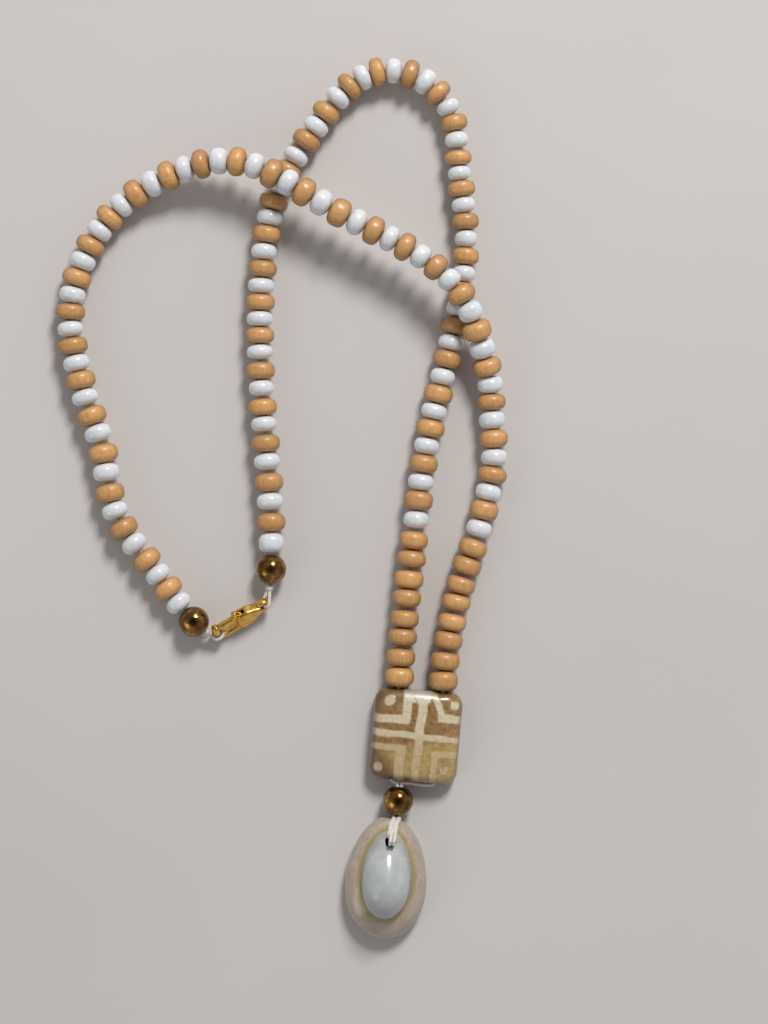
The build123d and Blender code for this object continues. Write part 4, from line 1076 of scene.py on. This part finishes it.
# ------------------------------------------------------------------ pendant cords
DL = np.array([drop_point @ TX, drop_point @ TY])
BR = brass_point[2]
PA = unit(brass_point - drop_point)
PS = np.cross(PA, [0, 0, 1.0])
for s, tag in ((-1, "a"), (1, "b")):
    if s < 0:
        x = -4.2
        pts = [on_tile(x, -7.6, 2.85), on_tile(x + 0.02, -8.6, 2.85), on_tile(x + 0.40, -9.25, 2.87), on_tile(DL[0] - 0.7, DL[1] - 0.02, BR - 0.05), on_tile(DL[0] - 0.38, DL[1] - 0.12, BR)]
    else:
        x = 4.6
        pts = [
            on_tile(x, -7.6, 2.85), on_tile(x - 0.02, -8.5, 2.85), on_tile(x - 0.35, -9.2, 2.85), on_tile(x - 1.3, DL[1], 2.82), on_tile(x - 3.0, DL[1] + 0.02, 2.78),
            on_tile(x - 5.0, DL[1], 2.85), on_tile(DL[0] + 0.75, DL[1] - 0.03, BR), on_tile(DL[0] + 0.40, DL[1] - 0.12, BR),
        ]
    cord(f"cord_tile_{tag}", pts, body="tile", radius=0.33)
    side = PS * 0.42 * (-s)
    a = on_tile(DL[0] + 0.38 * s, DL[1] - 0.10, BR)
    b = drop_point + PA * 0.65 + side
    c = drop_point + PA * 1.6 + side
    cord(f"cord_drop_{tag}", [a - on_tile(-0.4 * s, 0, 0) * 1.0, a, (a + b) / 2, b, c], radius=0.335, blend=("tile", "drop", drop_point - PA * 0.45, drop_point + PA * 0.75))

LX = [(shell_point - C0) @ CX, (shell_point - C0) @ CY]
for s, tag in ((-0.47, "a"), (0.47, "b")):
    hx = 0.3
    top = [
        on_shell(LX[0] + s, LX[1] + 0.7, 3.05), on_shell(LX[0] + s, LX[1] - 0.15, 3.40), on_shell(LX[0] + s - 0.05, 11.98, 4.25), on_shell(LX[0] + s - 0.2, 11.62, 5.2),
        on_shell(hx + s * 0.95 + 0.35, 11.2, 6.05), on_shell(hx + s * 0.92 + 0.24, 10.5, 6.6), on_shell(hx + s * 0.9 + 0.16, 9.95, 7.0), on_shell(hx + s * 0.9 + 0.08, 9.4, 7.25),
        on_shell(hx + s * 0.86, 8.98, 7.15), on_shell(hx + s * 0.82, 8.74, 6.6), on_shell(hx + s * 0.8, 8.6, 5.8), on_shell(hx + s * 0.8, 8.45, 4.6),
    ]
    cord(f"cord_shell_top_{tag}", top[2:], body="cowrie", radius=0.47)
    under = [on_shell(hx + s * 0.8, 7.9, 3.4), on_shell(hx + s * 0.8, 8.5, 1.6), on_shell(hx + s * 0.8 + 0.1, 9.8, 1.0), on_shell(LX[0] + s * 0.8 - 0.3, 11.4, 0.95), on_shell(LX[0] + s * 0.9 - 0.05, 12.5, 1.4), on_shell(LX[0] + s * 0.6, LX[1] + 0.05, 2.5)]
    cord(f"cord_shell_under_{tag}", under, body="cowrie", radius=0.33)
    inside = shell_point - PA * 1.4 + PS * s
    cord(f"cord_shell_lead_{tag}", [inside, shell_point - PA * 0.55 + PS * s, (shell_point - PA * 0.55 + PS * s + top[1]) / 2, top[1], top[2], top[3]], radius=0.46, blend=("drop", "cowrie", shell_point - PA * 0.55, shell_point + PA * 0.35))

# ------------------------------------------------------------------ cords and knots at the clasp
ob_point, ob_axis = joint_mm("outer_brass_spin")
ib_point, ib_axis = joint_mm("inner_brass_spin")
LOOP_V = -1.02
k1 = ob_point + unit([0.835, -0.55, 0.0]) * 3.78
cord("cord_outer_end", [ob_point + ob_axis * 1.2, ob_point + ob_axis * 2.6, (ob_point + ob_axis * 2.9 + k1) / 2, k1], body="tail_end", radius=0.36)
loop = [(-0.45, -0.80), (0.45, -1.20), (1.3, -0.85), (1.6, 0.0), (1.3, 0.85), (0.45, 1.20), (-0.45, 0.80)]
cord("cord_hook_loop", [k1] + [on_clasp(u, LOOP_V, w) for u, w in loop] + [k1], body="tail_end", radius=0.33)
knot("cord_hook_knot", k1, ob_axis, "tail_end", 1.25)
tail_dir = unit(-CU * 0.9 - CV * 0.3 - np.array([0, 0, 0.1]))
t0 = k1 + tail_dir * 0.3
cord("cord_hook_tail", [k1, t0 + np.array([-0.3, -0.5, -0.4]), t0 + np.array([-0.7, -1.0, -0.9]), t0 + np.array([-1.35, -1.35, -1.15])], body="tail_end", radius=0.28, taper=True)
k2 = ib_point + ib_axis * 3.75
cord("cord_inner_end", [ib_point + ib_axis * 1.2, ib_point + ib_axis * 2.6, k2 - ib_axis * 0.4, k2], body="tail_end", radius=0.40)
eye = on_clasp(11.2, 0, 0)
pull = unit(k2 - eye)
lean = unit(pull - CW * (pull @ CW))
pts = [
    k2, (k2 + eye + lean * 1.3 - CW * 0.95) / 2 - CW * 0.2, eye + lean * 1.0 - CW * 0.98, eye + lean * 0.35 - CW * 0.78, eye + lean * 0.10 - CW * 0.2,
    eye + lean * 0.12 + CW * 0.30, eye + lean * 0.45 + CW * 0.80, eye + lean * 1.1 + CW * 0.95, (k2 + eye + lean * 1.3 + CW * 0.9) / 2 + CW * 0.1, k2 + CW * 0.1,
]
cord("cord_eye_loop", pts, body="tail_end", radius=0.34)
knot("cord_eye_knot", k2 - ib_axis * 0.1, ib_axis, "tail_end", 1.12)

# ------------------------------------------------------------------ clasp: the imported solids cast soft, as a plated zinc casting is
for node, grow, voxel in (("clasp_hook", 0.17, 0.075), ("clasp_lever", 0.09, 0.075)):
    src = frame["nodes"][node]
    me = src.data.copy()
    me.name = "look_" + node
    ob = bpy.data.objects.new("look_" + node, me)
    ob.matrix_world = src.matrix_world.copy()
    bpy.context.scene.collection.objects.link(ob)
    m = ob.modifiers.new("cast", "REMESH")
    m.mode = "VOXEL"
    m.voxel_size = voxel * MM * 1.0
    m.use_smooth_shade = True
    m = ob.modifiers.new("soft", "SMOOTH")
    m.factor, m.iterations = 0.5, 5
    m = ob.modifiers.new("plating", "DISPLACE")
    m.strength, m.mid_level = grow * MM, 0.0
    m = ob.modifiers.new("settle", "SMOOTH")
    m.factor, m.iterations = 0.5, 2
    cast = evaluated(ob, "look_" + node)
    ob.modifiers.clear()
    ob.data = cast
    bpy.data.meshes.remove(me)
    cast.materials.clear()
    cast.materials.append(MAT["gold_plate"])
    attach(ob, NODE_BODY[node])
    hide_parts(node)

# ------------------------------------------------------------------ floor, light and camera
floor_me = new_mesh("floor", [(-900, -900, 0), (900, -900, 0), (900, 900, 0), (-900, 900, 0)], [(0, 1, 2, 3)])
nf = Nodes("floor_cloth")
c = nf.t.nodes.new("ShaderNodeTexCoord").outputs["Object"]
soft = nf.noise(c, 9.0, 3.0, 0.5)
nf.set(color=nf.ramp(soft, [(0.3, (0.600, 0.572, 0.560)), (0.7, (0.640, 0.612, 0.598))]), rough=0.9, spec=0.2)
floor = new_object("floor", floor_me, nf.mat)
floor.location.z = -0.00002


def area(name, direction, distance, size, power, color):
    ld = bpy.data.lights.new(name, "AREA")
    ld.shape = "DISK"
    ld.size = size
    ld.energy = power
    ld.color = color
    ob = bpy.data.objects.new(name, ld)
    bpy.context.scene.collection.objects.link(ob)
    d = Vector(direction).normalized()
    target = Vector((-0.006, 0.045, 0.0))
    ob.location = target + d * distance
    ob.rotation_euler = (-d).to_track_quat("-Z", "Y").to_euler()
    return ob


area("key", (0.26, 0.69, 0.69), 1.15, 0.33, 10.9, (1.0, 0.985, 0.965))
area("fill", (-0.80, -0.50, 0.55), 1.4, 0.7, 1.6, (1.0, 0.95, 0.90))
world = bpy.data.worlds.new("soft")
bpy.context.scene.world = world
world.use_nodes = True
bg = world.node_tree.nodes["Background"]
coord = world.node_tree.nodes.new("ShaderNodeTexCoord")
split = world.node_tree.nodes.new("ShaderNodeSeparateXYZ")
sky = world.node_tree.nodes.new("ShaderNodeValToRGB")
world.node_tree.links.new(coord.outputs["Generated"], split.inputs[0])
world.node_tree.links.new(split.outputs["Z"], sky.inputs[0])
world.node_tree.links.new(sky.outputs["Color"], bg.inputs[0])
# a soft room: pale round the horizon, dim straight overhead where the viewer stands
stops = sky.color_ramp.elements
stops[0].position, stops[0].color = 0.0, (0.80, 0.79, 0.78, 1)
stops[1].position, stops[1].color = 1.0, (0.13, 0.13, 0.135, 1)
for at, c in ((0.35, 0.95), (0.72, 0.90), (0.90, 0.26)):
    e = stops.new(at)
    e.color = (c, c, c * 1.01, 1)
bg.inputs[1].default_value = 0.46

cam_data = bpy.data.cameras.new("camera")
cam_data.sensor_fit = "VERTICAL"
cam_data.sensor_height = 24.0
DIST = 0.48
cam_data.lens = 12.0 / (0.1024 / DIST)
cam = bpy.data.objects.new("camera", cam_data)
bpy.context.scene.collection.objects.link(cam)
cam.location = (-0.0063, 0.0446, DIST)
cam.rotation_euler = (0, 0, 0)
cam_data.clip_start = 0.01
bpy.context.scene.camera = cam
